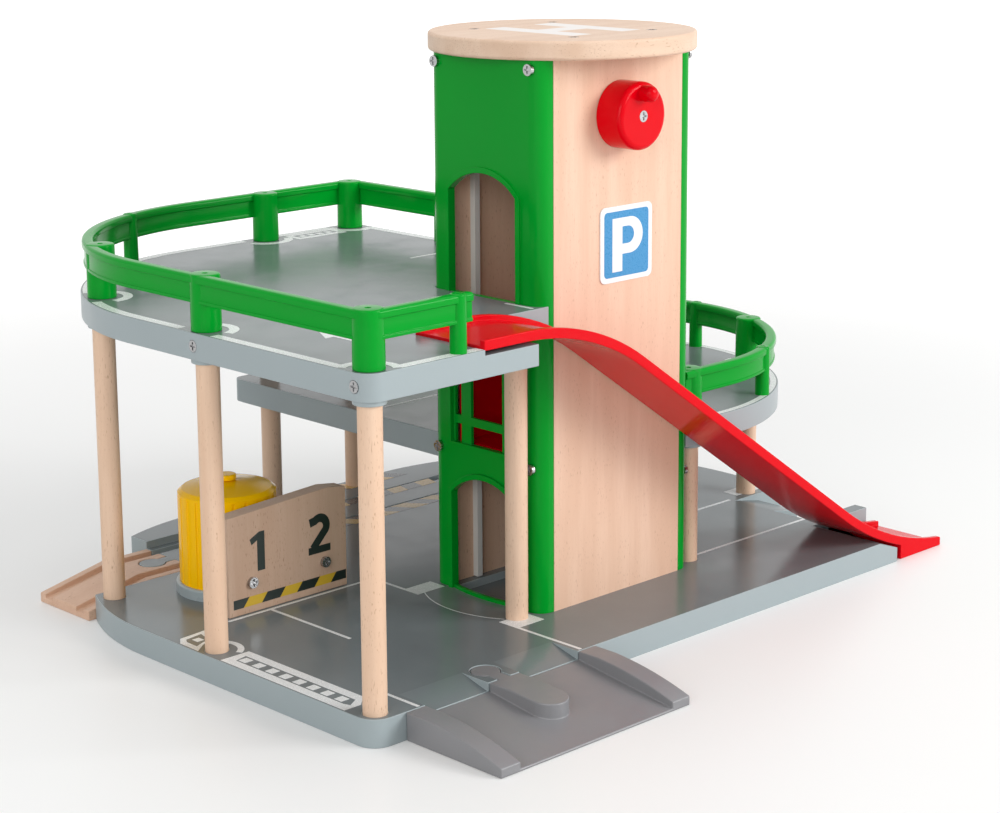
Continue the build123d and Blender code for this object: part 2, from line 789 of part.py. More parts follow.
def tower_shell(outer_x, outward, doors, windows, screw_levels):
    """A moulded end of the tower: a rounded channel with arched doors and barred windows."""
    with BuildSketch(plan(ground)) as channel:
        add(tower_plan)
        offset(tower_plan, amount=-shell_thickness, mode=Mode.SUBTRACT)
        with Locations((outer_x - outward * shell_lip / 2, tower_center_y)):
            Rectangle(shell_lip, tower_depth, mode=Mode.INTERSECT)
    extrude(channel.sketch, amount=tower_top - ground)
    with BuildSketch(side_view(outer_x)) as mouldings:
        for level in doors + windows:
            doorway(level, moulding_width)
    extrude(mouldings.sketch, amount=outward * moulding_height)
    with BuildSketch(side_view(outer_x + outward * moulding_height)) as openings:
        for level in doors:
            doorway(level)
        for level in windows:
            panes(level)
    cut_depth = shell_thickness + 2 * moulding_height
    extrude(openings.sketch, amount=-outward * cut_depth, mode=Mode.SUBTRACT)
    with BuildSketch(side_view(outer_x + outward * moulding_height)) as rebates:
        for level in windows:
            doorway(level)
    extrude(rebates.sketch, amount=-outward * 2 * moulding_height, mode=Mode.SUBTRACT)
    holes = [(y, z) for y in shell_screw_y for z in screw_levels]
    bores(side_view(outer_x + shell_lip), holes, screw_hole, 2 * shell_lip)


shell_screw_y = (tower_front_y + shell_screw_inset, tower_back_y - shell_screw_inset)
with BuildPart() as left_shell:
    tower_shell(tower_left_x, -1, [ground, upper_level], [mid_level], left_shell_screw_heights)
save(left_shell.part, "left_shell")

with BuildPart() as right_shell:
    tower_shell(tower_right_x, 1, [mid_level], [ground, upper_level], right_shell_screw_heights)
save(right_shell.part, "right_shell")

shaft_hole = shaft_diameter / 2 + shaft_fit


def tower_panel(outer_y, inward, screw_y):
    """A beech panel whose edges are stepped back to sit behind the shells' lips."""
    face_y = outer_y + inward * (shell_thickness + tower_gap / 2)
    back_y = outer_y + inward * panel_thickness
    narrow = tower_width / 2 - shell_lip - tower_gap / 2
    wide = tower_width / 2 - shell_thickness - tower_gap / 2
    corner = tower_corner_radius - shell_thickness
    right_half = [
        (narrow, outer_y),
        (narrow, face_y),
        (wide - corner, face_y),
        (wide, face_y + inward * corner),
        (wide, back_y),
    ]
    left_half = [(-x, y) for x, y in reversed(right_half)]
    with BuildSketch(plan(ground)) as profile:
        with Locations((tower_center_x, 0)):
            Polygon(*right_half, *left_half, align=None)
    extrude(profile.sketch, amount=tower_top - ground)
    right_pilots = [(screw_y, z) for z in right_shell_screw_heights]
    left_pilots = [(screw_y, z) for z in left_shell_screw_heights]
    bores(side_view(tower_right_x), right_pilots, screw_hole, screw_length)
    bores(side_view(tower_left_x + screw_length), left_pilots, screw_hole, screw_length)
    feet = [(x, outer_y + inward * panel_thickness / 2) for x in panel_screw_x]
    columns(feet, screw_hole, 0, 2 * screw_length, Mode.SUBTRACT)
    columns(feet, screw_hole, tower_top - screw_length, tower_top, Mode.SUBTRACT)


with BuildPart() as front_panel:
    tower_panel(tower_front_y, 1, shell_screw_y[0])
    knob_axis = (tower_center_x, knob_height)
    idler_axis = (tower_center_x, idler_height)
    bores(front_view(tower_front_y), [knob_axis], shaft_hole, panel_thickness)
    bores(front_view(inner_front_y - idler_pin_bite), [idler_axis], idler_pin_diameter / 2, panel_thickness)
save(front_panel.part, "front_panel")

with BuildPart() as back_panel:
    tower_panel(tower_back_y, -1, shell_screw_y[1])
save(back_panel.part, "back_panel")

roof_top = tower_top + roof_thickness
roof_screw_points = tower_screw_points
with BuildPart() as roof_disc:
    columns([(tower_center_x, tower_center_y)], roof_diameter / 2, tower_top, roof_top)
    fillet(roof_disc.edges().filter_by(GeomType.CIRCLE), roof_edge_radius)
    columns(roof_screw_points, head_hole, roof_top - screw_head_height - 0.1, roof_top, Mode.SUBTRACT)
    columns(roof_screw_points, screw_hole, tower_top, roof_top, Mode.SUBTRACT)
save(roof_disc.part, "roof_disc")


# ---- screws -----------------------------------------------------------------------------------
def screw(head_plane, length=screw_length):
    """A pan-head screw whose head's top lies in a plane and whose shank goes down behind it."""
    with BuildPart() as fastener:
        with BuildSketch(head_plane):
            Circle(screw_head_diameter / 2)
        extrude(amount=-screw_head_height)
        with BuildSketch(head_plane.offset(-screw_head_height)):
            Circle(screw_shank_diameter / 2)
        extrude(amount=-(length - screw_head_height))
        with BuildSketch(head_plane):
            Rectangle(0.7 * screw_head_diameter, screw_slot_width)
            Rectangle(screw_slot_width, 0.7 * screw_head_diameter)
        extrude(amount=-screw_slot_depth, mode=Mode.SUBTRACT)
    return fastener.part


def save_screws(planes, node, length=screw_length):
    """Identical screws share one node, each its own solid."""
    save(Compound(children=[screw(plane, length) for plane in planes]), node)


def upward(point, z):
    return Plane((origin_x + point[0], origin_y + point[1], z), z_dir=(0, 0, 1))


def downward(point, z):
    return Plane((origin_x + point[0], origin_y + point[1], z), z_dir=(0, 0, -1))


def leftward(x, y, z):
    return Plane((origin_x + x, origin_y + y, z), z_dir=(-1, 0, 0))


def rightward(x, y, z):
    return Plane((origin_x + x, origin_y + y, z), z_dir=(1, 0, 0))


def frontward(x, y, z):
    return Plane((origin_x + x, origin_y + y, z), x_dir=(1, 0, 0), z_dir=(0, -1, 0))


save_screws([downward(point, 0.1) for point in all_dowels], "dowel_screws")
save_screws([downward(point, 0.1) for point in tower_screw_points], "tower_screws", screw_length + 8)
save_screws([upward(point, roof_top - 0.1) for point in roof_screw_points], "roof_screws", 14)
deck_screw_length = side_dowel[0]
save_screws([leftward(0.1, y, z) for y, z in deck_screw_points], "deck_screws", deck_screw_length)
left_head_x = tower_left_x - screw_head_height
right_head_x = tower_right_x + screw_head_height
shell_screw_planes = [leftward(left_head_x, y, z) for y in shell_screw_y for z in left_shell_screw_heights]
shell_screw_planes += [rightward(right_head_x, y, z) for y in shell_screw_y for z in right_shell_screw_heights]
save_screws(shell_screw_planes, "shell_screws")
board_screw_planes = [frontward(x, board_front_y - screw_head_height, z) for x, z in board_screw_points]
save_screws(board_screw_planes, "board_screws")


# ---- lift mechanism -----------------------------------------------------------------------------
knob_back_y = tower_front_y - knob_gap
knob_front_y = knob_back_y - knob_depth
with BuildPart() as knob:
    with BuildSketch(front_view(knob_back_y)):
        with Locations((tower_center_x, knob_height)):
            Circle(knob_diameter / 2)
    extrude(amount=knob_depth)
    fillet(knob.faces().sort_by(Axis.Y)[0].edges(), knob_edge_radius)
    with BuildSketch(front_view(knob_front_y + 1)):
        with Locations((tower_center_x, knob_height + finger_peg_radius)):
            Circle(finger_peg_diameter / 2)
    extrude(amount=1 + finger_peg_length)
    fillet(knob.faces().sort_by(Axis.Y)[0].edges(), finger_peg_diameter / 2 - 0.6)
    shaft_front_y = knob_front_y + 2 * screw_head_height
    bores(front_view(shaft_front_y), [knob_axis], shaft_diameter / 2, knob_depth)
    bores(front_view(knob_front_y), [knob_axis], screw_hole, knob_depth)
    bores(front_view(knob_front_y), [knob_axis], head_hole, screw_head_height + 0.1)
save(knob.part, "knob")

save_screws([frontward(tower_center_x, knob_front_y, knob_height)], "knob_screw")

shaft_back_y = pulley_y + pulley_width
with BuildPart() as drive_shaft:
    with BuildSketch(front_view(shaft_back_y)):
        with Locations((tower_center_x, knob_height)):
            Circle(shaft_diameter / 2)
    extrude(amount=shaft_back_y - shaft_front_y)
    bores(front_view(shaft_front_y), [knob_axis], screw_hole, screw_length)
save(drive_shaft.part, "drive_shaft")


def pulley(axis_point, bore_radius):
    """A grooved wheel for the cord, with a flange on each side."""
    groove_width = pulley_width - 2 * pulley_flange_width
    with BuildPart() as wheel:
        with BuildSketch(front_view(pulley_y + pulley_width)):
            with Locations(axis_point):
                Circle(pulley_flange_radius)
        extrude(amount=pulley_width)
        with BuildSketch(front_view(pulley_y + pulley_flange_width + groove_width)):
            with Locations(axis_point):
                Circle(2 * pulley_flange_radius)
                Circle(pulley_root, mode=Mode.SUBTRACT)
        extrude(amount=groove_width, mode=Mode.SUBTRACT)
        bores(front_view(pulley_y), [axis_point], bore_radius, pulley_width)
    return wheel.part


save(pulley(knob_axis, shaft_diameter / 2), "drive_pulley")
save(pulley(idler_axis, idler_pin_diameter / 2 + shaft_fit), "idler_pulley")

idler_pin_front_y = inner_front_y - idler_pin_bite
with BuildPart() as idler_pin:
    with BuildSketch(front_view(shaft_back_y)):
        with Locations((tower_center_x, idler_height)):
            Circle(idler_pin_diameter / 2)
    extrude(amount=shaft_back_y - idler_pin_front_y)
save(idler_pin.part, "idler_pin")

left_run_x = tower_center_x - pulley_radius
right_run_x = tower_center_x + pulley_radius
with BuildPart() as lift_cord:
    with BuildLine(front_view(cord_y)) as loop:
        Line((left_run_x, idler_height), (left_run_x, knob_height))
        CenterArc((tower_center_x, knob_height), pulley_radius, 180, -180)
        Line((right_run_x, knob_height), (right_run_x, idler_height))
        CenterArc((tower_center_x, idler_height), pulley_radius, 0, -180)
    with BuildSketch(plan(idler_height)):
        with Locations((left_run_x, cord_y)):
            Circle(cord_diameter / 2)
    sweep(path=loop.wire())
save(lift_cord.part, "lift_cord")

guide_x = (car_left_x + guide_inset, car_left_x + car_length - guide_inset)
guide_bottom = ground + joint_gap
guide_top = tower_top - 2 * guide_height
with BuildPart() as guide_strips:
    for x in guide_x:
        block(
            (x - guide_width / 2, inner_front_y, guide_bottom),
            (x + guide_width / 2, inner_front_y + guide_height, guide_top),
        )
        block(
            (x - guide_width / 2, inner_back_y - guide_height, guide_bottom),
            (x + guide_width / 2, inner_back_y, guide_top),
        )
save(guide_strips.part, "guide_strips")

# ---- lift car ---------------------------------------------------------------------------------
car_bottom = mid_level - car_floor
car_top = car_bottom + car_height
car_back_y = car_front_y + car_width
car_right_x = car_left_x + car_length
with BuildPart() as lift_car:
    block((car_left_x, car_front_y, car_bottom), (car_right_x, car_back_y, car_top - car_roof_thickness))
    block(
        (car_left_x - 1, car_front_y + car_wall, mid_level),
        (car_right_x + 1, car_back_y - car_wall, car_top),
        Mode.SUBTRACT,
    )
save(lift_car.part, "lift_car")

with BuildPart() as car_roof:
    block(
        (car_left_x, car_front_y, car_top - car_roof_thickness),
        (car_right_x, car_back_y, car_top),
    )
    fillet(car_roof.edges().filter_by(Axis.Z), car_wall)
save(car_roof.part, "car_roof")

shoe_levels = (mid_level + joint_gap, car_top - shoe_height)
shoe_half = guide_width / 2 + guide_clearance + shoe_wall
with BuildPart() as guide_shoes:
    for x in guide_x:
        for wall_y, panel_y in ((car_front_y, inner_front_y), (car_back_y, inner_back_y)):
            inward = 1 if wall_y > panel_y else -1
            outer_y = panel_y + inward * 2 * guide_clearance
            low_y, high_y = sorted((wall_y, outer_y))
            slot_end = panel_y + inward * (guide_height + guide_clearance)
            slot_low, slot_high = sorted((outer_y - inward, slot_end))
            for z in shoe_levels:
                block((x - shoe_half, low_y, z), (x + shoe_half, high_y, z + shoe_height))
                half = guide_width / 2 + guide_clearance
                block((x - half, slot_low, z - 1), (x + half, slot_high, z + shoe_height + 1), Mode.SUBTRACT)
save(guide_shoes.part, "guide_shoes")

clamp_bottom = mid_level + clamp_rise
slot_half = cord_diameter / 2 + cord_clearance
with BuildPart() as cord_clamp:
    block(
        (left_run_x - clamp_length / 2, inner_front_y + pulley_gap, clamp_bottom),
        (left_run_x + clamp_length / 2, car_front_y, clamp_bottom + clamp_height),
    )
    block(
        (left_run_x - slot_half, inner_front_y, clamp_bottom - 1),
        (left_run_x + slot_half, cord_y + slot_half, clamp_bottom + clamp_height + 1),
        Mode.SUBTRACT,
    )
save(cord_clamp.part, "cord_clamp")


# ---- red car ramp -----------------------------------------------------------------------------
def ramp_curve(depth, start_x, end_angle):
    """A curve parallel to the ramp's rim and depth below it, from its top end down to its foot."""
    crest = rim_crest - depth
    foot = ramp_foot_radius + depth
    start = (start_x, crest_center[1] + crest)
    crest_start = (crest_center[0], crest_center[1] + crest)
    slope_top = (crest_center[0] + crest * sin(slope), crest_center[1] + crest * cos(slope))
    slope_foot = (foot_center[0] - foot * sin(slope), foot_center[1] - foot * cos(slope))
    end = (
        foot_center[0] - foot * sin(radians(end_angle)),
        foot_center[1] - foot * cos(radians(end_angle)),
    )
    Line(start, crest_start)
    RadiusArc(crest_start, slope_top, crest)
    Line(slope_top, slope_foot)
    RadiusArc(slope_foot, end, -foot)
    return start, end


heel_x = landing_end_x + ramp_foot_gap
underside_foot = ramp_foot_radius + ramp_thickness
heel_angle = degrees(atan2(foot_center[0] - heel_x, (underside_foot**2 - (foot_center[0] - heel_x) ** 2) ** 0.5))
with BuildPart() as car_ramp:
    with BuildSketch(front_view(ramp_far_y)):
        with BuildLine():
            top_start, top_end = ramp_curve(0, ramp_seat_start_x, ramp_tip_angle)
            under_start, under_end = ramp_curve(ramp_thickness, ramp_seat_start_x, heel_angle)
            Line(top_start, under_start)
            Polyline(under_end, (under_end[0], 0), (top_end[0], 0), top_end)
        make_face()
    extrude(amount=ramp_width)
    # The channel between the two flanges.
    channel_drop = ramp_thickness - ramp_floor
    with BuildSketch(front_view(ramp_far_y - ramp_flange)):
        with BuildLine():
            floor_start, floor_end = ramp_curve(channel_drop, ramp_seat_start_x - 1, ramp_tip_angle - 1)
            lift = 2 * upper_level
            Polyline(floor_start, (floor_start[0], lift), (floor_end[0], lift), floor_end)
        make_face()
    extrude(amount=ramp_width - 2 * ramp_flange, mode=Mode.SUBTRACT)
    # The lug that keeps the top end in its seat.
    lug_y = ramp_front_gap + ramp_width / 2
    lug_bottom = upper_level - ramp_seat_depth - ramp_lug_depth
    block(
        (ramp_crest_start_x - ramp_lug_length, lug_y - ramp_lug_width / 2, lug_bottom),
        (ramp_crest_start_x, lug_y + ramp_lug_width / 2, under_start[1] + ramp_floor / 2),
    )
    pad_x = (ramp_seat_start_x + 2 * ramp_flange, ramp_seat_start_x + 3 * ramp_flange)
    block(
        (pad_x[0], lug_y - ramp_lug_width / 2, upper_level - ramp_seat_depth),
        (pad_x[1], lug_y + ramp_lug_width / 2, under_start[1] + ramp_floor / 2),
    )
save(car_ramp.part, "car_ramp")


# ---- front road ramp --------------------------------------------------------------------------
def curb_profile():
    """A curb seen from the side: level at the base, then curving down to its tip."""
    with BuildLine() as edge:
        start = (-joint_gap, ground)
        bend = (-curb_flat_length, ground)
        tip = (-road_length, curb_tip_height)
        Polyline(tip, (-road_length, 0), (-joint_gap, 0), start, bend)
        middle = ((bend[0] + tip[0]) / 2, (bend[1] + tip[1]) / 2 + road_length / 40)
        ThreePointArc(bend, middle, tip)
    make_face(edge.edges())


with BuildPart() as road_ramp:
    with BuildSketch(side_view(road_left_x)):
        with BuildLine():
            Polyline(
                (-road_length, road_tip_height),
                (-road_length, 0),
                (-joint_gap, 0),
                (-joint_gap, road_edge_height),
                close=True,
            )
        make_face()
    extrude(amount=road_width)
    for curb_x in (road_left_x, road_right_x - curb_width):
        with BuildSketch(side_view(curb_x)):
            curb_profile()
        extrude(amount=curb_width)
    with BuildSketch(plan(0)):
        with Locations((road_center_x, -(tongue_length - tongue_width / 2) / 2)):
            Rectangle(tongue_width, tongue_length - tongue_width / 2)
        with Locations((road_center_x, -(tongue_length - tongue_width / 2))):
            Circle(tongue_width / 2)
    extrude(amount=ground)
    tongue_left_x = road_center_x - tongue_width / 2
    recess(side_view(tongue_left_x), tongue_width, -curb_flat_length, -tongue_length, ground - tongue_tip_height)
    block((tongue_left_x, -joint_gap, 0), (tongue_left_x + tongue_width, 1, ground), Mode.SUBTRACT)
    with BuildSketch(plan(0)):
        keyhole(road_socket, (road_center_x, -1), peg_neck_width, peg_head_diameter)
    extrude(amount=ground)
save(road_ramp.part, "road_ramp")

# ---- wooden rail ramp -------------------------------------------------------------------------
rail_ramp_end_x = track_start_x - joint_gap
with BuildPart() as rail_ramp:
    with BuildSketch(front_view(track_high_y - joint_gap)):
        with BuildLine():
            Polyline(
                (rail_ramp_tip_x, 0),
                (rail_ramp_end_x, 0),
                (rail_ramp_end_x, ground),
                (rail_ramp_flat_x, ground),
                (rail_ramp_tip_x, rail_ramp_tip_height),
                close=True,
            )
        make_face()
    extrude(amount=track_width - 2 * joint_gap)
    for side in (-1, 1):
        groove_y = track_center_y + side * track_groove_spacing / 2
        tip_floor = rail_ramp_tip_height - 0.75 * track_groove_depth
        with BuildSketch(front_view(groove_y + track_groove_width / 2)):
            with BuildLine():
                Polyline(
                    (rail_ramp_tip_x - 1, tip_floor),
                    (rail_ramp_flat_x, ground - track_groove_depth),
                    (rail_ramp_end_x + 1, ground - track_groove_depth),
                    (rail_ramp_end_x + 1, ground + 1),
                    (rail_ramp_tip_x - 1, ground + 1),
                    close=True,
                )
            make_face()
        extrude(amount=track_groove_width, mode=Mode.SUBTRACT)
    with BuildSketch(plan(-1)):
        keyhole(rail_peg, (track_start_x + 1, track_center_y), neck, head)
    extrude(amount=ground + 2, mode=Mode.SUBTRACT)
save(rail_ramp.part, "rail_ramp")

# ---- fuel tank --------------------------------------------------------------------------------
tank_axis = Plane(
    (origin_x + tank_center[0], origin_y + tank_center[1], ground), x_dir=(1, 0, 0), z_dir=(0, -1, 0)
)
tank_radius = tank_diameter / 2
with BuildPart() as tank_collar:
    columns([tank_center], tank_collar_diameter / 2, ground, ground + tank_collar_height)
    columns([tank_center], tank_radius + dowel_fit, ground + tank_wall, ground + tank_collar_height + 1, Mode.SUBTRACT)
    rim_edges = tank_collar.edges().filter_by(GeomType.CIRCLE).group_by(Axis.Z)[-1]
    fillet(rim_edges.sort_by(SortBy.RADIUS)[-1], tank_wall / 2)
save(tank_collar.part, "tank_collar")

with BuildPart() as tank_body:
    with BuildSketch(tank_axis):
        with BuildLine():
            Polyline(
                (tank_radius - tank_wall, tank_wall),
                (tank_radius, tank_wall),
                (tank_radius, tank_shoulder_height),
            )
            Line((tank_radius, tank_shoulder_height), (tank_radius - 2, tank_shoulder_height + 1.6))
            Line((tank_radius - 2, tank_shoulder_height + 1.6), (0, tank_shoulder_height + tank_lid_rise))
            Line((0, tank_shoulder_height + tank_lid_rise), (0, tank_shoulder_height + tank_lid_rise - tank_wall))
            Line(
                (0, tank_shoulder_height + tank_lid_rise - tank_wall),
                (tank_radius - tank_wall, tank_shoulder_height - tank_wall),
            )
            Line(
                (tank_radius - tank_wall, tank_shoulder_height - tank_wall),
                (tank_radius - tank_wall, tank_wall),
            )
        make_face()
    revolve(axis=Axis((origin_x + tank_center[0], origin_y + tank_center[1], 0), (0, 0, 1)))
    with BuildSketch(plan(ground + tank_collar_height)):
        with Locations(tank_center):
            with PolarLocations(tank_radius + tank_flute_radius / 3, tank_flutes):
                Circle(tank_flute_radius)
    extrude(amount=tank_shoulder_height - tank_collar_height - 1, mode=Mode.SUBTRACT)
save(tank_body.part, "tank_body")

tank_top = ground + tank_shoulder_height + tank_lid_rise
with BuildPart() as tank_cap:
    columns([tank_center], tank_cap_diameter / 2, tank_top, tank_top + tank_cap_height)
    fillet(tank_cap.edges().group_by(Axis.Z)[-1], tank_cap_height / 3)
save(tank_cap.part, "tank_cap")

# ---- number board and parking sign --------------------------------------------------------------
with BuildPart() as number_board:
    with BuildSketch(front_view(board_front_y + board_thickness)):
        with BuildLine():
            Polyline(
                (board_left_x, ground),
                (board_left_x + board_length, ground),
                (board_left_x + board_length, ground + board_right_height),
                (board_left_x + board_peak_offset, ground + board_peak_height),
                (board_left_x, ground + board_left_height),
                close=True,
            )
        make_face()
    extrude(amount=board_thickness)
    bores(front_view(board_front_y), board_screw_points, screw_hole, board_thickness)
save(number_board.part, "number_board")

with BuildPart() as parking_sign:
    with BuildSketch(front_view(tower_front_y)):
        with Locations((tower_center_x + sign_offset_x, sign_bottom + sign_height / 2)):
            RectangleRounded(sign_width, sign_height, sign_corner_radius)
    extrude(amount=sign_thickness)
save(parking_sign.part, "parking_sign")
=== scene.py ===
import json
from math import cos, radians, sin

import bmesh
import bpy
from mathutils import Matrix, Vector


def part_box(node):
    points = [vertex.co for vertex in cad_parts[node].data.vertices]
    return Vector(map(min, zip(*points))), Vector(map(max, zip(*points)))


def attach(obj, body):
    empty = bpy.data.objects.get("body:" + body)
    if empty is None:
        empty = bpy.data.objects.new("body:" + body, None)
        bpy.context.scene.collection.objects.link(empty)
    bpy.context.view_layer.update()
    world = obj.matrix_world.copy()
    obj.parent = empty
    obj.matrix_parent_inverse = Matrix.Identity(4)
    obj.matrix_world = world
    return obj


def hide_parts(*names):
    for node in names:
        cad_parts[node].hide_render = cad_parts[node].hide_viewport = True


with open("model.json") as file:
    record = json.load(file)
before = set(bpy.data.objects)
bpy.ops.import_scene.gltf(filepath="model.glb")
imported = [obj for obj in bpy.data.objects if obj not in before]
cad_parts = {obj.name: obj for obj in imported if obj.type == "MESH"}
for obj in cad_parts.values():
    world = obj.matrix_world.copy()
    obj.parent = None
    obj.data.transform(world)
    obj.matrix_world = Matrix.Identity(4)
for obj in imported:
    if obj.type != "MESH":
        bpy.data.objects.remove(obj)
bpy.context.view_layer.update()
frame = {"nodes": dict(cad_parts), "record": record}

# Plan sizes are in millimetres from the near left corner of the base, as in the CAD model.
MM = 0.001
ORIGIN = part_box("base_plate")[0]


def place(x, y, z):
    """A plan point in millimetres as a point in the frame, in metres."""
    return Vector((ORIGIN.x + x * MM, ORIGIN.y + y * MM, z * MM))


def polar(center, radius, angle):
    return (center[0] + radius * cos(radians(angle)), center[1] + radius * sin(radians(angle)))


# ---- camera -----------------------------------------------------------------------------------
YAW, PITCH, ROLL = 0.8018, 0.2029, -0.0063
LENS, SENSOR_WIDTH, FRAME_SHIFT = 83.279, 36.0, -0.10
CAMERA_PLACE = (-554.39, -645.32, 352.13)
forward = Vector((cos(PITCH) * cos(YAW), cos(PITCH) * sin(YAW), -sin(PITCH)))
level_right = Vector((sin(YAW), -cos(YAW), 0))
level_up = level_right.cross(forward)
right = cos(ROLL) * level_right + sin(ROLL) * level_up
up = cos(ROLL) * level_up - sin(ROLL) * level_right
camera_data = bpy.data.cameras.new("camera")
camera_data.sensor_width = SENSOR_WIDTH
camera_data.lens = LENS
camera_data.shift_y = FRAME_SHIFT
camera_data.clip_start = 0.05
camera_data.clip_end = 20.0
camera = bpy.data.objects.new("camera", camera_data)
bpy.context.scene.collection.objects.link(camera)
turn = Matrix((right, up, -forward)).transposed()
camera.matrix_world = Matrix.Translation(place(*CAMERA_PLACE)) @ turn.to_4x4()
bpy.context.scene.camera = camera
bpy.context.scene.view_settings.view_transform = "Standard"


# ---- material tools -----------------------------------------------------------------------------
class Shader:
    """A material whose nodes are added one by one."""

    def __init__(self, name):
        self.material = bpy.data.materials.new(name)
        self.material.use_nodes = True
        self.tree = self.material.node_tree
        self.tree.nodes.clear()
        self.output = self.tree.nodes.new("ShaderNodeOutputMaterial")
        self.bsdf = self.tree.nodes.new("ShaderNodeBsdfPrincipled")
        self.tree.links.new(self.bsdf.outputs[0], self.output.inputs[0])

    def node(self, kind, inputs=None, **settings):
        made = self.tree.nodes.new("ShaderNode" + kind)
        for key, value in settings.items():
            setattr(made, key, value)
        for key, value in (inputs or {}).items():
            self.set(made.inputs[key], value)
        return made

    def set(self, socket, value):
        if isinstance(value, bpy.types.NodeSocket):
            self.tree.links.new(value, socket)
        elif isinstance(value, tuple) and len(value) == 3 and socket.type == "RGBA":
            socket.default_value = (*value, 1.0)
        else:
            socket.default_value = value

    def surface(self, **inputs):
        for key, value in inputs.items():
            self.set(self.bsdf.inputs[key.replace("_", " ")], value)

    def position(self, scale=(1, 1, 1), turn=(0, 0, 0)):
        """The object's own coordinates in metres, scaled."""
        coordinates = self.node("TexCoord").outputs["Object"]
        return self.node(
            "Mapping", {"Vector": coordinates, "Scale": scale, "Rotation": turn}
        ).outputs[0]

    def noise(self, vector, scale=1.0, detail=2.0, roughness=0.5):
        made = self.node(
            "TexNoise", {"Vector": vector, "Scale": scale, "Detail": detail, "Roughness": roughness}
        )
        return made.outputs[0]

    def ramp(self, value, low, high, low_out=0.0, high_out=1.0):
        made = self.node("MapRange", {0: value, 1: low, 2: high, 3: low_out, 4: high_out})
        made.interpolation_type = "SMOOTHSTEP"
        return made.outputs[0]

    def mix(self, factor, first, second):
        made = self.tree.nodes.new("ShaderNodeMix")
        made.data_type = "RGBA"
        self.set(made.inputs[0], factor)
        self.set(made.inputs[6], first)
        self.set(made.inputs[7], second)
        return made.outputs[2]

    def math(self, operation, first, second=0.0):
        return self.node("Math", {0: first, 1: second}, operation=operation).outputs[0]

    def bump(self, height, strength, distance):
        made = self.node("Bump", {"Height": height, "Strength": strength, "Distance": distance})
        self.set(self.bsdf.inputs["Normal"], made.outputs[0])


def plastic(name, color, roughness, mottle=0.04, specular=0.5, grain=0.06):
    """Moulded plastic: an even colour that drifts a little, fine flow texture and soft gloss."""
    s = Shader(name)
    drift = s.noise(s.position(), 45.0, 3.0)
    fine = s.noise(s.position(), 1400.0, 3.0, 0.6)
    dark = tuple(c * (1 - mottle) for c in color)
    light = tuple(c * (1 + mottle) for c in color)
    s.surface(
        Base_Color=s.mix(drift, dark, light),
        Roughness=s.ramp(s.noise(s.position(), 90.0, 4.0), 0.3, 0.7, roughness * 0.85, roughness * 1.2),
        Specular_IOR_Level=specular,
    )
    s.bump(fine, grain, 0.0001)
    return s.material


def beech(name, axis, light=(0.80, 0.575, 0.42), print_mask=None):
    """Clear-lacquered beech: broad tone bands, fine streaks and short dark flecks along the grain."""
    s = Shader(name)
    along = {"x": (0, 1, 1), "y": (1, 0, 1), "z": (1, 1, 0)}[axis]

    def stretched(across, lengthwise):
        return tuple(across if a else lengthwise for a in along)

    bands = s.noise(s.position(stretched(95, 7)), 1.0, 3.0, 0.55)
    streaks = s.noise(s.position(stretched(1500, 75)), 1.0, 4.0, 0.65)
    flecks = s.noise(s.position(stretched(2400, 420)), 1.0, 1.0, 0.4)
    fleck_zone = s.noise(s.position(stretched(160, 40)), 1.0, 2.0)
    mid = (light[0] * 0.91, light[1] * 0.86, light[2] * 0.82)
    deep = (light[0] * 0.58, light[1] * 0.46, light[2] * 0.38)
    tone = s.mix(s.ramp(bands, 0.32, 0.68), light, mid)
    tone = s.mix(s.ramp(streaks, 0.42, 0.75, 0.0, 0.6), tone, mid)
    spots = s.math("MULTIPLY", s.ramp(flecks, 0.63, 0.74), s.ramp(fleck_zone, 0.4, 0.6, 0.15, 0.7))
    tone = s.mix(spots, tone, deep)
    if print_mask is not None:
        tone = s.mix(print_mask(s), tone, (0.83, 0.79, 0.76))
    s.surface(
        Base_Color=tone,
        Roughness=s.ramp(streaks, 0.3, 0.7, 0.4, 0.52),
        Specular_IOR_Level=0.35,
    )
    s.bump(s.math("SUBTRACT", streaks, spots), 0.15, 0.0001)
    return s.material


def road_plastic(name, side, top):
    """Grey plastic whose level top faces carry a darker satin print."""
    s = Shader(name)
    up_facing = s.node("SeparateXYZ", {0: s.node("NewGeometry").outputs["True Normal"]}).outputs[2]
    printed = s.ramp(up_facing, 0.90, 0.9985)
    cloud = s.noise(s.position(), 28.0, 4.0, 0.6)
    fine = s.noise(s.position(), 1500.0, 3.0, 0.6)
    speck = s.ramp(s.noise(s.position(), 2600.0, 1.0), 0.6, 0.75, 0.0, 0.12)
    top_tone = s.mix(cloud, tuple(c * 0.92 for c in top), tuple(c * 1.08 for c in top))
    top_tone = s.mix(speck, top_tone, tuple(c * 1.6 for c in top))
    side_tone = s.mix(cloud, tuple(c * 0.97 for c in side), tuple(c * 1.03 for c in side))
    wear = s.ramp(s.noise(s.position(), 75.0, 4.0), 0.3, 0.75, -0.03, 0.05)
    s.surface(
        Base_Color=s.mix(printed, side_tone, top_tone),
        Roughness=s.math("ADD", wear, s.ramp(printed, 0.0, 1.0, 0.34, 0.21)),
        Specular_IOR_Level=0.36,
    )
    s.bump(fine, 0.05, 0.0001)
    return s.material


def steel(name):
    s = Shader(name)
    scratches = s.noise(s.position((900, 900, 4200)), 1.0, 3.0)
    s.surface(
        Base_Color=s.mix(scratches, (0.30, 0.30, 0.31), (0.52, 0.52, 0.52)),
        Metallic=1.0,
        Roughness=s.ramp(scratches, 0.3, 0.7, 0.16, 0.32),
    )
    s.bump(scratches, 0.08, 0.00005)
    return s.material


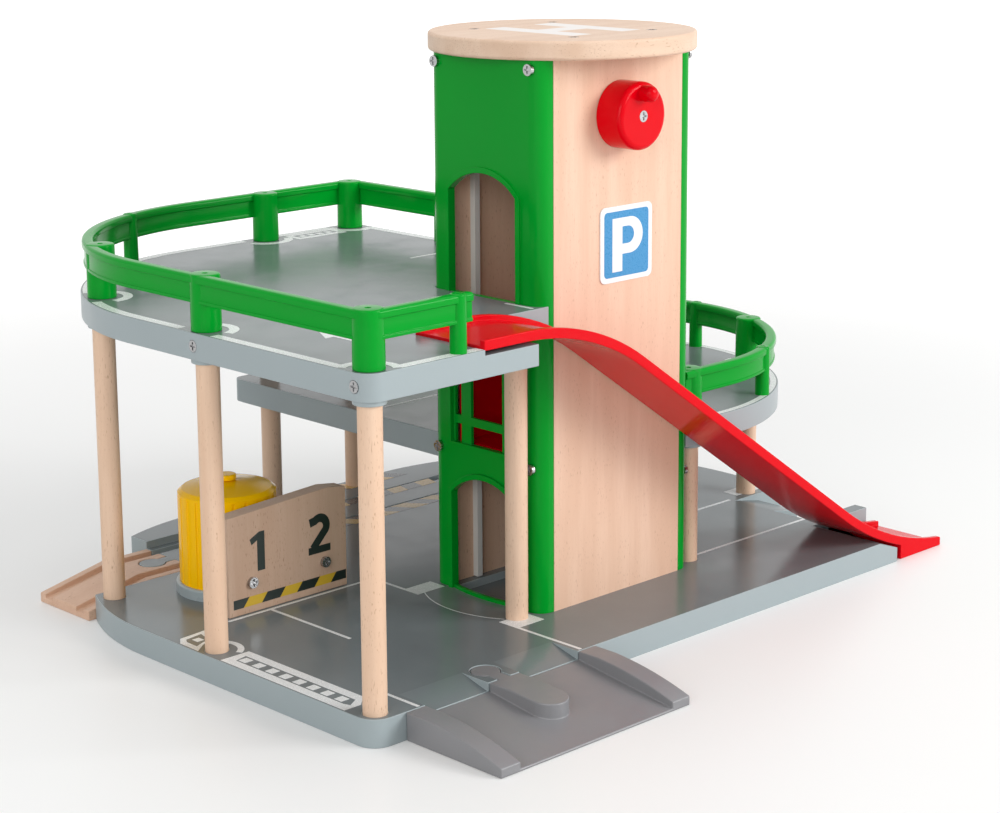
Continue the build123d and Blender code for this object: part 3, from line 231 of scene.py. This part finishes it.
def ink(name, color, roughness=0.32):
    """A printed film: nearly even, with a faint screen texture."""
    s = Shader(name)
    grain = s.noise(s.position(), 2200.0, 2.0)
    s.surface(
        Base_Color=s.mix(grain, tuple(c * 0.94 for c in color), tuple(min(c * 1.04, 0.95) for c in color)),
        Roughness=s.ramp(grain, 0.3, 0.7, roughness * 0.85, roughness * 1.15),
    )
    s.bump(grain, 0.04, 0.00005)
    return s.material


def braid(name):
    s = Shader(name)
    weave = s.node(
        "TexWave", {"Vector": s.position(), "Scale": 1100.0, "Distortion": 1.0}, bands_direction="DIAGONAL"
    ).outputs[1]
    s.surface(
        Base_Color=s.mix(weave, (0.02, 0.02, 0.022), (0.09, 0.09, 0.095)),
        Roughness=s.ramp(weave, 0, 1, 0.7, 0.9),
    )
    s.bump(weave, 0.5, 0.0002)
    return s.material


# ---- materials ----------------------------------------------------------------------------------
ROOF_CENTER = (184.75, 77.5)
H_REACH, H_STROKE, H_SPACING = 27.5, 12.0, 31.0


def helipad_mask(s):
    """White where the top of the roof disc carries its H."""
    split = s.node("SeparateXYZ", {0: s.position()})
    center = place(*ROOF_CENTER, 0)
    across = s.math("ABSOLUTE", s.math("SUBTRACT", split.outputs[0], center.x))
    along = s.math("ABSOLUTE", s.math("SUBTRACT", split.outputs[1], center.y))
    soft = 0.15 * MM

    def below(value, limit):
        return s.ramp(value, limit * MM - soft, limit * MM + soft, 1.0, 0.0)

    inner = (H_SPACING - H_STROKE) / 2
    outer = (H_SPACING + H_STROKE) / 2
    stroke = s.math("MULTIPLY", below(across, outer), s.math("SUBTRACT", 1.0, below(across, inner)))
    stroke = s.math("MULTIPLY", stroke, below(along, H_REACH))
    bar = s.math("MULTIPLY", below(across, inner + 0.5), below(along, H_STROKE / 2))
    high = s.ramp(split.outputs[2], 264.6 * MM, 265.0 * MM)
    return s.math("MULTIPLY", s.math("MAXIMUM", stroke, bar), high)


SIDE_GREY = (0.33, 0.385, 0.40)
TOP_GREY = (0.165, 0.192, 0.200)
beech_upright = beech("beech_upright", "z")
beech_panel = beech("beech_panel", "z", (0.78, 0.545, 0.405))
beech_board = beech("beech_board", "z", (0.60, 0.42, 0.31))
beech_roof = beech("beech_roof", "x", (0.76, 0.565, 0.43), helipad_mask)
beech_track = beech("beech_track", "x", (0.72, 0.49, 0.36))
grey_road = road_plastic("grey_road", SIDE_GREY, TOP_GREY)
grey_plastic = plastic("grey_plastic", SIDE_GREY, 0.3)
ramp_grey = plastic("ramp_grey", (0.225, 0.225, 0.235), 0.36, grain=0.12)
green_plastic = plastic("green_plastic", (0.0, 0.31, 0.022), 0.14, specular=0.09)
red_plastic = plastic("red_plastic", (0.68, 0.0, 0.006), 0.15, specular=0.09)
yellow_plastic = plastic("yellow_plastic", (0.97, 0.54, 0.0), 0.18, specular=0.12)
white_plastic = plastic("white_plastic", (0.72, 0.72, 0.70), 0.4)
steel_plate = steel("steel_plate")
cord_braid = braid("cord_braid")
white_ink = ink("white_ink", (0.80, 0.82, 0.82), 0.25)
light_grey_ink = ink("light_grey_ink", (0.21, 0.235, 0.235), 0.2)
dark_ink = ink("dark_ink", (0.085, 0.088, 0.095), 0.25)
black_ink = ink("black_ink", (0.008, 0.018, 0.014), 0.35)
yellow_ink = ink("yellow_ink", (0.66, 0.43, 0.03), 0.35)
tan_ink = ink("tan_ink", (0.62, 0.40, 0.14), 0.3)
blue_ink = ink("blue_ink", (0.030, 0.25, 0.52), 0.3)

MATERIALS = {
    "base_plate": grey_road,
    "upper_deck": grey_road,
    "mid_deck": grey_road,
    "tank_collar": grey_plastic,
    "road_ramp": ramp_grey,
    "roof_disc": beech_roof,
    "front_panel": beech_panel,
    "back_panel": beech_panel,
    "number_board": beech_board,
    "rail_ramp": beech_track,
    "parking_sign": white_ink,
    "tank_body": yellow_plastic,
    "tank_cap": yellow_plastic,
    "lift_cord": cord_braid,
}
BY_SLOT = {
    "beech": beech_upright,
    "grey_plastic": grey_plastic,
    "dark_grey_plastic": ramp_grey,
    "green_plastic": green_plastic,
    "red_plastic": red_plastic,
    "yellow_plastic": yellow_plastic,
    "white_plastic": white_plastic,
    "blue_sign": blue_ink,
    "steel": steel_plate,
    "cord": cord_braid,
}
slot_of = {entry["node"]: entry["material_slot"] for entry in frame["record"]["subparts"]}


def material_for(node):
    return MATERIALS.get(node) or BY_SLOT[slot_of[node]]


body_of = {}
for body_name, members in frame["record"]["behaviour"]["bodies"].items():
    for member in members:
        body_of[member] = body_name


def finish_mesh(name, bm, material, body):
    """A piece from a bmesh, in its material and riding on its body."""
    mesh = bpy.data.meshes.new(name)
    bm.to_mesh(mesh)
    bm.free()
    mesh.materials.append(material)
    piece = bpy.data.objects.new(name, mesh)
    bpy.context.scene.collection.objects.link(piece)
    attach(piece, body)
    return piece


# ---- CAD nodes with softened edges ---------------------------------------------------------------
FACET_ANGLE = 10.5
EDGE_ANGLE = 30.0


def softened(node, width, segments=2):
    """A copy of a CAD node with its sharp edges rounded, standing for the node."""
    bm = bmesh.new()
    bm.from_mesh(frame["nodes"][node].data)
    bmesh.ops.remove_doubles(bm, verts=bm.verts, dist=2e-6)
    bmesh.ops.dissolve_limit(
        bm, angle_limit=radians(0.4), verts=bm.verts, edges=bm.edges, use_dissolve_boundaries=False
    )
    for face in bm.faces:
        face.smooth = True
    for edge in bm.edges:
        fold = edge.calc_face_angle(0.0)
        edge.smooth = not radians(FACET_ANGLE) < fold < radians(EDGE_ANGLE)
    piece = finish_mesh(node + "_moulded", bm, material_for(node), body_of[node])
    bevel = piece.modifiers.new("rounded_edges", "BEVEL")
    bevel.width = width * MM
    bevel.segments = segments
    bevel.limit_method = "ANGLE"
    bevel.angle_limit = radians(EDGE_ANGLE)
    bevel.use_clamp_overlap = False
    flat = piece.modifiers.new("flat_faces", "WEIGHTED_NORMAL")
    flat.mode = "FACE_AREA"
    flat.keep_sharp = True
    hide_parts(node)
    return piece


SOFT_EDGES = {
    "base_plate": 0.3,
    "upper_deck": 0.3,
    "mid_deck": 0.3,
    "road_ramp": 0.55,
    "car_ramp": 0.5,
    "rail_ramp": 0.4,
    "number_board": 0.4,
    "left_shell": 0.2,
    "right_shell": 0.2,
    "car_roof": 0.4,
    "lift_car": 0.3,
}
RAILINGS = ("upper_railing", "mid_railing")
for node, width in SOFT_EDGES.items():
    softened(node, width)
for node, obj in frame["nodes"].items():
    if node not in SOFT_EDGES and node not in RAILINGS:
        obj.data.materials.clear()
        obj.data.materials.append(material_for(node))


# ---- printed films ------------------------------------------------------------------------------
FILM_SINK, FILM_RISE = 0.05, 0.07
RING_RISE = 0.09


def deck_film(height):
    """Maps plan millimetres and a rise to a level surface."""
    return lambda u, v, rise: place(u, v, height + rise)


def wall_film(y):
    """Maps x, z and a rise to an upright surface that faces the front."""
    return lambda u, v, rise: place(u, y - rise, v)


def patch(bm, to_frame, outline, rise=FILM_RISE):
    """A thin flat piece with the given outline."""
    low = [bm.verts.new(to_frame(u, v, -FILM_SINK)) for u, v in outline]
    high = [bm.verts.new(to_frame(u, v, rise)) for u, v in outline]
    bm.faces.new(high)
    bm.faces.new(low[::-1])
    for i in range(len(outline)):
        j = (i + 1) % len(outline)
        bm.faces.new((low[i], low[j], high[j], high[i]))


def strip(bm, to_frame, left, right_side, rise=FILM_RISE, closed=False):
    """A thin flat piece between two lines of points."""
    rings = []
    for a, b in zip(left, right_side):
        corners = ((a, -FILM_SINK), (b, -FILM_SINK), (b, rise), (a, rise))
        rings.append([bm.verts.new(to_frame(*p, r)) for p, r in corners])
    count = len(rings)
    for i in range(count if closed else count - 1):
        now, after = rings[i], rings[(i + 1) % count]
        for k in range(4):
            m = (k + 1) % 4
            bm.faces.new((now[k], now[m], after[m], after[k]))
    if not closed:
        bm.faces.new(rings[0][::-1])
        bm.faces.new(rings[-1])


def stroke(bm, to_frame, points, width, rise=FILM_RISE, closed=False):
    """A line of even width along points, with mitred bends."""
    left, right_side = [], []
    count = len(points)
    for i, (x, y) in enumerate(points):
        before = points[i - 1] if closed or i else points[i]
        after = points[(i + 1) % count] if closed or i < count - 1 else points[i]
        first = Vector((x - before[0], y - before[1]))
        second = Vector((after[0] - x, after[1] - y))
        if first.length == 0:
            first = second
        if second.length == 0:
            second = first
        first.normalize()
        second.normalize()
        tangent = (first + second).normalized()
        normal = Vector((-tangent.y, tangent.x))
        reach = width / 2 / max(0.3, tangent.dot(first))
        left.append((x + normal.x * reach, y + normal.y * reach))
        right_side.append((x - normal.x * reach, y - normal.y * reach))
    strip(bm, to_frame, left, right_side, rise, closed)


def arc(center, radius, start, end, steps=24):
    return [polar(center, radius, start + (end - start) * i / steps) for i in range(steps + 1)]


def box_outline(x0, y0, x1, y1):
    return [(x0, y0), (x1, y0), (x1, y1), (x0, y1)]


def film(name, material, draw):
    bm = bmesh.new()
    draw(bm)
    bmesh.ops.recalc_face_normals(bm, faces=bm.faces)
    return finish_mesh(name, bm, material, "garage")


GROUND, MID_LEVEL, UPPER_LEVEL = 12.0, 81.5, 151.0
BASE_DEPTH = 269.0
ground = deck_film(GROUND)
mid = deck_film(MID_LEVEL)
upper = deck_film(UPPER_LEVEL)
LINE = 1.6
SIDE_POST = (7.5, 109.5)
CORNER_POST = (8.0, 8.0)
END_ARC = (114.0, 155.0)
END_POST = polar(END_ARC, 106.0, 155.5)
BACK_POST = (159.5, 261.5)
REAR_POST = (215.0, 261.5)


def ground_lines(bm):
    stroke(bm, ground, [(33.0, 134.6), (117.3, 134.6), (117.3, 112.8)], LINE)
    stroke(bm, ground, [(56.6, 133.8), (56.6, 80.0)], LINE)
    stroke(bm, ground, [(24.6, 20.0), (24.6, 0.9)], LINE)
    stroke(bm, ground, [(117.3, 38.4), (117.3, 0.9)], LINE)
    patch(bm, ground, box_outline(116.5, 102.8, 133.2, 112.8))
    outer_foot = box_outline(116.5, 38.4, 133.2, 49.8)
    patch(bm, ground, outer_foot)
    stroke(bm, ground, [(262.0, 100.9), (332.4, 100.9)], LINE)
    stroke(bm, ground, [(250.0, 52.2), (332.4, 52.2)], LINE)
    patch(bm, ground, [(341.0, 103.4), (360.5, 103.4), (360.5, 112.6), (341.0, 112.6)])


def left_band(bm):
    """The white frame round the row of squares, its ring round the side post, and its far piece."""
    inner = [(16.0, 98.4), (16.0, 24.4), (9.6, 18.4), (0.9, 18.4), (0.9, 98.4)]
    hole = [(11.6, 95.0), (11.6, 24.0), (6.2, 20.9), (5.2, 24.0), (5.2, 93.5)]
    strip(bm, ground, inner, hole, closed=True)
    stroke(bm, ground, arc(SIDE_POST, 10.2, -62, 62), 2.8, RING_RISE)
    far = [(16.0, 121.0), (19.4, 133.0), (4.6, 131.6), (1.2, 127.0), (0.9, 114.0), (8.0, 119.4)]
    far_hole = [(13.0, 122.4), (14.8, 130.4), (6.0, 129.2), (4.2, 126.4), (4.0, 119.0), (8.4, 121.0)]
    strip(bm, ground, far, far_hole, closed=True)
    for i in range(8):
        y = 26.4 + i * 8.86
        patch(bm, ground, box_outline(6.1, y, 10.5, y + 4.5), FILM_RISE * 1.2)
    patch(bm, ground, box_outline(7.6, 123.4, 11.2, 127.2), FILM_RISE * 1.2)


def door_apron(bm):
    """The lighter curved print in front of the tower's ground door."""
    left = arc((161.0, 77.0), 47.6, 147, 213)
    right_side = [(135.2, p[1]) for p in left]
    strip(bm, ground, left, right_side, FILM_RISE * 0.6)


def apron_edge(bm):
    stroke(bm, ground, arc((161.0, 77.0), 47.9, 147, 213), 0.5, FILM_RISE * 0.8)


def upper_border(bm):
    edge = 3.1
    width = 4.4
    stroke(bm, upper, [(18.6, edge), (61.6, edge)], width)
    stroke(bm, upper, [(edge, 18.4), (edge, 98.4)], width)
    run = END_ARC[0] - edge
    stroke(bm, upper, [(edge, 120.6), (edge, 155.0)] + arc(END_ARC, run, 180, 161, 12)[1:], width)
    stroke(bm, upper, arc(END_ARC, run, 150, 90, 40) + [(149.0, BASE_DEPTH - edge)], width)
    stroke(bm, upper, [(169.8, BASE_DEPTH - edge), (204.4, BASE_DEPTH - edge)], width)
    stroke(bm, upper, [(223.0 - edge, 251.4), (223.0 - edge, 113.6)], width)
    stroke(bm, upper, arc(SIDE_POST, 11.4, -78, 78), 4.2, RING_RISE)
    stroke(bm, upper, arc(END_POST, 11.4, -96, 52), 4.2, RING_RISE)
    stroke(bm, upper, arc(CORNER_POST, 11.4, -32, 122), 4.2, RING_RISE)
    stroke(bm, upper, arc(BACK_POST, 11.4, 196, 344), 4.2, RING_RISE)
    stroke(bm, upper, arc(REAR_POST, 11.4, 160, 300), 4.2, RING_RISE)
    stroke(bm, upper, [(176.0, 171.0), (217.4, 171.0)], LINE)
    stroke(bm, upper, [(139.0, 60.0), (139.0, 44.0)], 1.8)
    stroke(bm, upper, [(132.0, 60.5), (132.0, 44.0)], 1.8)
    sign_box = box_outline(172.0, 250.0, 203.0, 263.0)
    strip(bm, upper, sign_box, box_outline(175.0, 253.0, 200.0, 260.0), 1.6 * FILM_RISE, closed=True)
    for i in range(4):
        patch(bm, upper, box_outline(177.4 + i * 5.6, 254.6, 180.8 + i * 5.6, 258.4))
    arrow = [(38.0, 74.0), (44.5, 62.0), (40.2, 62.0), (40.2, 48.0), (35.8, 48.0), (35.8, 62.0), (31.5, 62.0)]
    patch(bm, upper, arrow)


MID_FRONT_ARC, MID_BACK_ARC = (264.0, 145.0), (241.0, 145.0)
MID_SIDE_POST = polar(MID_FRONT_ARC, 94.8, -25)
MID_BACK_POST = polar(MID_BACK_ARC, 117.8, 27.5)
MID_NEAR_POST = (242.5, 51.5)


def mid_border(bm):
    edge = 2.4
    width = 3.0
    front_run = [(254.0, 44.0 + edge), (264.0, 44.0 + edge)]
    stroke(bm, mid, front_run + arc(MID_FRONT_ARC, 101.0 - edge, -90, -31.5, 30)[1:], width)
    outer = arc(MID_FRONT_ARC, 101.0 - edge, -18.5, 0, 12) + arc(MID_BACK_ARC, 124.0 - edge, 0, 22, 12)[1:]
    stroke(bm, mid, outer, width)
    stroke(bm, mid, arc(MID_BACK_ARC, 124.0 - edge, 33, 88, 30), width)
    stroke(bm, mid, arc(MID_SIDE_POST, 10.9, 84, 226), 3.4, RING_RISE)
    stroke(bm, mid, arc(MID_BACK_POST, 10.9, 128, 284), 3.4, RING_RISE)
    stroke(bm, mid, arc(MID_NEAR_POST, 10.9, -40, 140), 3.4, RING_RISE)
    stroke(bm, mid, [(145.0, 168.0), (212.0, 168.0)], LINE)


def crossing(bm, odd):
    """Slanted hazard blocks beside and between the rails."""
    rows = ((206.4, 216.6, 8.0), (233.6, 241.9, -1.6), (256.4, 266.6, 8.0))
    for row, (low, high, slant) in enumerate(rows):
        for i in range(10):
            if (i + row) % 2 == odd:
                x = 148.0 + i * 10.0
                patch(bm, ground, [(x, low), (x + 10.0, low), (x + 10.0 - slant, high), (x - slant, high)])


# ---- railings ---------------------------------------------------------------------------------------
RAIL_TOP = 24.0
BEAD_TOP = 23.8
WEB_HALF = 1.7


def rail_section():
    """The railing's section as (across, height) points: rounded bead, thin web, small foot bead."""
    right_half = arc((1.6, 12.6), 0.6, -90, 0, 3) + arc((1.8, 13.2), 0.4, 0, 90, 3)
    right_half += [(WEB_HALF, 13.9), (WEB_HALF, 20.1)]
    right_half += arc((2.3, 20.8), 0.4, -90, 0, 3) + arc((1.3, BEAD_TOP - 1.4), 1.4, 0, 90, 6)
    left_half = [(-across, height) for across, height in reversed(right_half)]
    return right_half + left_half


def swept(bm, route, level):
    """The railing's section carried along a route, with mitred bends and closed ends."""
    section = rail_section()
    rings = []
    for i, (x, y) in enumerate(route):
        before = Vector(route[max(i - 1, 0)])
        after = Vector(route[min(i + 1, len(route) - 1)])
        here = Vector((x, y))
        first = (here - before) if i else (after - here)
        tangent = (after - before).normalized()
        reach = 1.0 / max(0.5, tangent.dot(first.normalized()))
        normal = Vector((tangent.y, -tangent.x)) * reach
        rings.append(
            [bm.verts.new(place(x + normal.x * u, y + normal.y * u, level + v)) for u, v in section]
        )
    count = len(section)
    for now, after in zip(rings, rings[1:]):
        for k in range(count):
            m = (k + 1) % count
            bm.faces.new((now[k], now[m], after[m], after[k]))
    bm.faces.new(rings[0])
    bm.faces.new(rings[-1][::-1])


def turned(bm, center, profile, level, steps=40):
    """A round post: an (radius, height) profile turned about its axis, from axis to axis."""
    first = bm.verts.new(place(*center, level + profile[0][1]))
    last = bm.verts.new(place(*center, level + profile[-1][1]))
    rings = []
    for radius, height in profile[1:-1]:
        ring = [polar(center, radius, 360.0 * k / steps) for k in range(steps)]
        rings.append([bm.verts.new(place(x, y, level + height)) for x, y in ring])
    for k in range(steps):
        m = (k + 1) % steps
        bm.faces.new((first, rings[0][k], rings[0][m]))
        bm.faces.new((last, rings[-1][m], rings[-1][k]))
        for now, after in zip(rings, rings[1:]):
            bm.faces.new((now[k], after[k], after[m], now[m]))


def post_top(radius):
    """A dimpled post top with a rounded rim, from the axis out to the post's wall."""
    dimple = [(0, RAIL_TOP - 1.5), (1.0, RAIL_TOP - 1.5), (1.2, RAIL_TOP - 0.1), (1.35, RAIL_TOP)]
    return dimple + arc((radius - 0.9, RAIL_TOP - 0.9), 0.9, 90, 0, 5)


SLEEVE = post_top(6.35) + [(6.5, 0.3), (6.2, 0), (5.1, 0), (5.1, 15.3), (0, 15.3)]
THIN_POST = post_top(3.35) + [(3.5, 0), (0, 0)]


def railing(node, level, route, sleeves, thin_posts):
    bm = bmesh.new()
    swept(bm, route, level)
    for center in sleeves:
        turned(bm, center, SLEEVE, level)
    for center in thin_posts:
        turned(bm, center, THIN_POST, level)
    bmesh.ops.recalc_face_normals(bm, faces=bm.faces)
    for face in bm.faces:
        face.smooth = True
    for edge in bm.edges:
        edge.smooth = edge.calc_face_angle(0.0) < radians(EDGE_ANGLE)
    piece = finish_mesh(node + "_moulded", bm, green_plastic, "garage")
    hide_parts(node)


upper_route = [(57.0, 4.0)] + arc((10.0, 10.0), 6.0, 270, 180, 8) + arc(END_ARC, 110.0, 180, 90, 48)
upper_route += arc((213.0, 259.0), 6.0, 90, 0, 8) + [(219.0, 112.8)]
railing(
    "upper_railing",
    UPPER_LEVEL,
    upper_route,
    (CORNER_POST, SIDE_POST, END_POST, BACK_POST, REAR_POST),
    ((51.0, 4.0), polar(END_ARC, 110.0, 110.8), (219.0, 196.0)),
)
mid_route = [(234.8, 48.0)] + arc(MID_FRONT_ARC, 97.0, -90, 0, 40) + arc(MID_BACK_ARC, 120.0, 0, 88, 44)[1:]
railing(
    "mid_railing",
    MID_LEVEL,
    mid_route,
    (MID_NEAR_POST, MID_SIDE_POST, MID_BACK_POST),
    (polar(MID_FRONT_ARC, 97.0, 293), polar(MID_BACK_ARC, 120.0, 2.5), polar(MID_BACK_ARC, 120.0, 88)),
)


def door_sill(bm):
    """The curved threshold of the tower's ground door."""
    outer = arc((224.5, 77.5), 91.9, 180 + 13.4, 180 - 13.4, 20)
    inner = [(x + 1.8, y) for x, y in outer]
    strip(bm, ground, outer, inner, 1.7)


film("door_sill", green_plastic, door_sill)
film("ground_lines", white_ink, ground_lines)
film("left_band", white_ink, left_band)
film("door_apron", light_grey_ink, door_apron)
film("apron_edge", white_ink, apron_edge)
film("upper_border", white_ink, upper_border)
film("mid_border", white_ink, mid_border)
film("crossing_tan", tan_ink, lambda bm: crossing(bm, 0))
film("crossing_dark", dark_ink, lambda bm: crossing(bm, 1))

# ---- number board prints -------------------------------------------------------------------------
board = wall_film(137.0)


def digits(bm):
    one = [(56.0, 48.4), (53.0, 48.4), (47.7, 45.7), (48.7, 43.0), (51.8, 44.6), (51.8, 30.4), (56.0, 30.4)]
    patch(bm, board, one)
    curve = [(82.0, 45.7)] + arc((87.7, 43.2), 4.05, 128, -28, 20) + [(83.6, 33.4)]
    stroke(bm, board, curve, 4.0)
    patch(bm, board, [(81.1, 30.8), (93.9, 30.8), (93.9, 34.2), (81.1, 34.2)], FILM_RISE * 1.1)


HAZARD_LOW, HAZARD_HIGH = 15.3, 19.6
HAZARD_X = [37.9, 43.4, 53.6, 64.0, 73.7, 84.0, 93.6, 102.8]
HAZARD_SLANT = 3.4


def hazard(bm, odd):
    for i in range(7):
        if i % 2 == odd:
            a, b = HAZARD_X[i], HAZARD_X[i + 1]
            shift_a = HAZARD_SLANT if i else 0
            shift_b = HAZARD_SLANT if i < 6 else 0
            outline = [
                (a, HAZARD_LOW),
                (b, HAZARD_LOW),
                (b + shift_b, HAZARD_HIGH),
                (a + shift_a, HAZARD_HIGH),
            ]
            patch(bm, board, outline)


film("board_digits", black_ink, digits)
film("board_hazard_black", black_ink, lambda bm: hazard(bm, 0))
film("board_hazard_yellow", yellow_ink, lambda bm: hazard(bm, 1))

# ---- parking sign ---------------------------------------------------------------------------------
SIGN_FRONT = 41.9
sign = wall_film(SIGN_FRONT)


def rounded_box(x0, z0, x1, z1, radius, steps=6):
    points = []
    for cx, cz, start in (
        (x1 - radius, z0 + radius, -90),
        (x1 - radius, z1 - radius, 0),
        (x0 + radius, z1 - radius, 90),
        (x0 + radius, z0 + radius, 180),
    ):
        points += arc((cx, cz), radius, start, start + 90, steps)
    return points


def sign_field(bm):
    patch(bm, sign, rounded_box(174.6, 158.1, 203.3, 187.5, 1.9))


def sign_letter(bm):
    patch(bm, sign, box_outline(179.8, 160.4, 186.2, 184.4), 0.13)
    outer = [(186.0, 184.4), (188.7, 184.4)] + arc((191.3, 176.25), 8.15, 90, -90, 24)
    outer += [(188.7, 168.1), (186.0, 168.1)]
    inner = [(186.0, 180.4), (188.1, 180.4)] + arc((189.9, 176.5), 3.9, 90, -90, 24)
    inner += [(188.1, 172.6), (186.0, 172.6)]
    strip(bm, sign, outer, inner, 0.125)


film("sign_field", blue_ink, sign_field)
film("sign_letter", white_ink, sign_letter)


# ---- floor, backdrop and light --------------------------------------------------------------------
# The lamps reach only the floor near the garage, so it glows a little more with distance.
NEAR_GLOW, FAR_GLOW = (0.35, 0.12), (1.5, 0.66)


def studio_floor():
    s = Shader("studio_floor")
    cloud = s.noise(s.position(), 3.0, 2.0)
    s.surface(
        Base_Color=s.mix(cloud, (0.74, 0.74, 0.735), (0.76, 0.76, 0.755)),
        Roughness=0.4,
        Specular_IOR_Level=0.3,
        Emission_Color=(1.0, 1.0, 0.995),
    )
    path = s.node("LightPath")
    seen = s.math("MAXIMUM", path.outputs["Is Camera Ray"], path.outputs["Is Glossy Ray"])
    away = s.node("VectorMath", {0: s.position()}, operation="LENGTH").outputs["Value"]
    glow = s.ramp(away, NEAR_GLOW[0], FAR_GLOW[0], NEAR_GLOW[1], FAR_GLOW[1])
    s.surface(Emission_Strength=s.math("MULTIPLY", seen, glow))
    return s.material


floor_mesh = bmesh.new()
bmesh.ops.create_grid(floor_mesh, x_segments=2, y_segments=2, size=6.0)
mesh = bpy.data.meshes.new("studio_floor")
floor_mesh.to_mesh(mesh)
floor_mesh.free()
mesh.materials.append(studio_floor())
floor = bpy.data.objects.new("studio_floor", mesh)
bpy.context.scene.collection.objects.link(floor)

world = bpy.data.worlds.new("studio")
bpy.context.scene.world = world
world.use_nodes = True
nodes, links = world.node_tree.nodes, world.node_tree.links
background = nodes["Background"]
background.inputs["Color"].default_value = (1.0, 1.0, 1.0, 1.0)
path = nodes.new("ShaderNodeLightPath")
seen = nodes.new("ShaderNodeMath")
seen.operation = "MAXIMUM"
links.new(path.outputs["Is Camera Ray"], seen.inputs[0])
links.new(path.outputs["Is Glossy Ray"], seen.inputs[1])
clear = nodes.new("ShaderNodeMath")
clear.operation = "MAXIMUM"
links.new(seen.outputs[0], clear.inputs[0])
links.new(path.outputs["Is Transmission Ray"], clear.inputs[1])
level = nodes.new("ShaderNodeMapRange")
links.new(clear.outputs[0], level.inputs[0])
level.inputs[3].default_value = 0.5
level.inputs[4].default_value = 1.0
links.new(level.outputs[0], background.inputs["Strength"])


def softbox(name, position, target, size, power):
    light = bpy.data.lights.new(name, "AREA")
    light.shape = "RECTANGLE"
    light.size, light.size_y = size
    light.energy = power
    lamp = bpy.data.objects.new(name, light)
    bpy.context.scene.collection.objects.link(lamp)
    direction = Vector(target) - Vector(position)
    aim = direction.to_track_quat("-Z", "Y").to_matrix().to_4x4()
    lamp.matrix_world = Matrix.Translation(Vector(position)) @ aim


softbox("key", (1.05, -1.75, 0.95), (0, 0, 0.1), (1.2, 0.9), 34.0)
softbox("fill", (-2.2, -1.1, 0.9), (0, 0, 0.12), (1.6, 1.2), 22.0)
softbox("top", (-0.1, 0.25, 2.0), (0, 0, 0), (1.6, 1.6), 11.0)
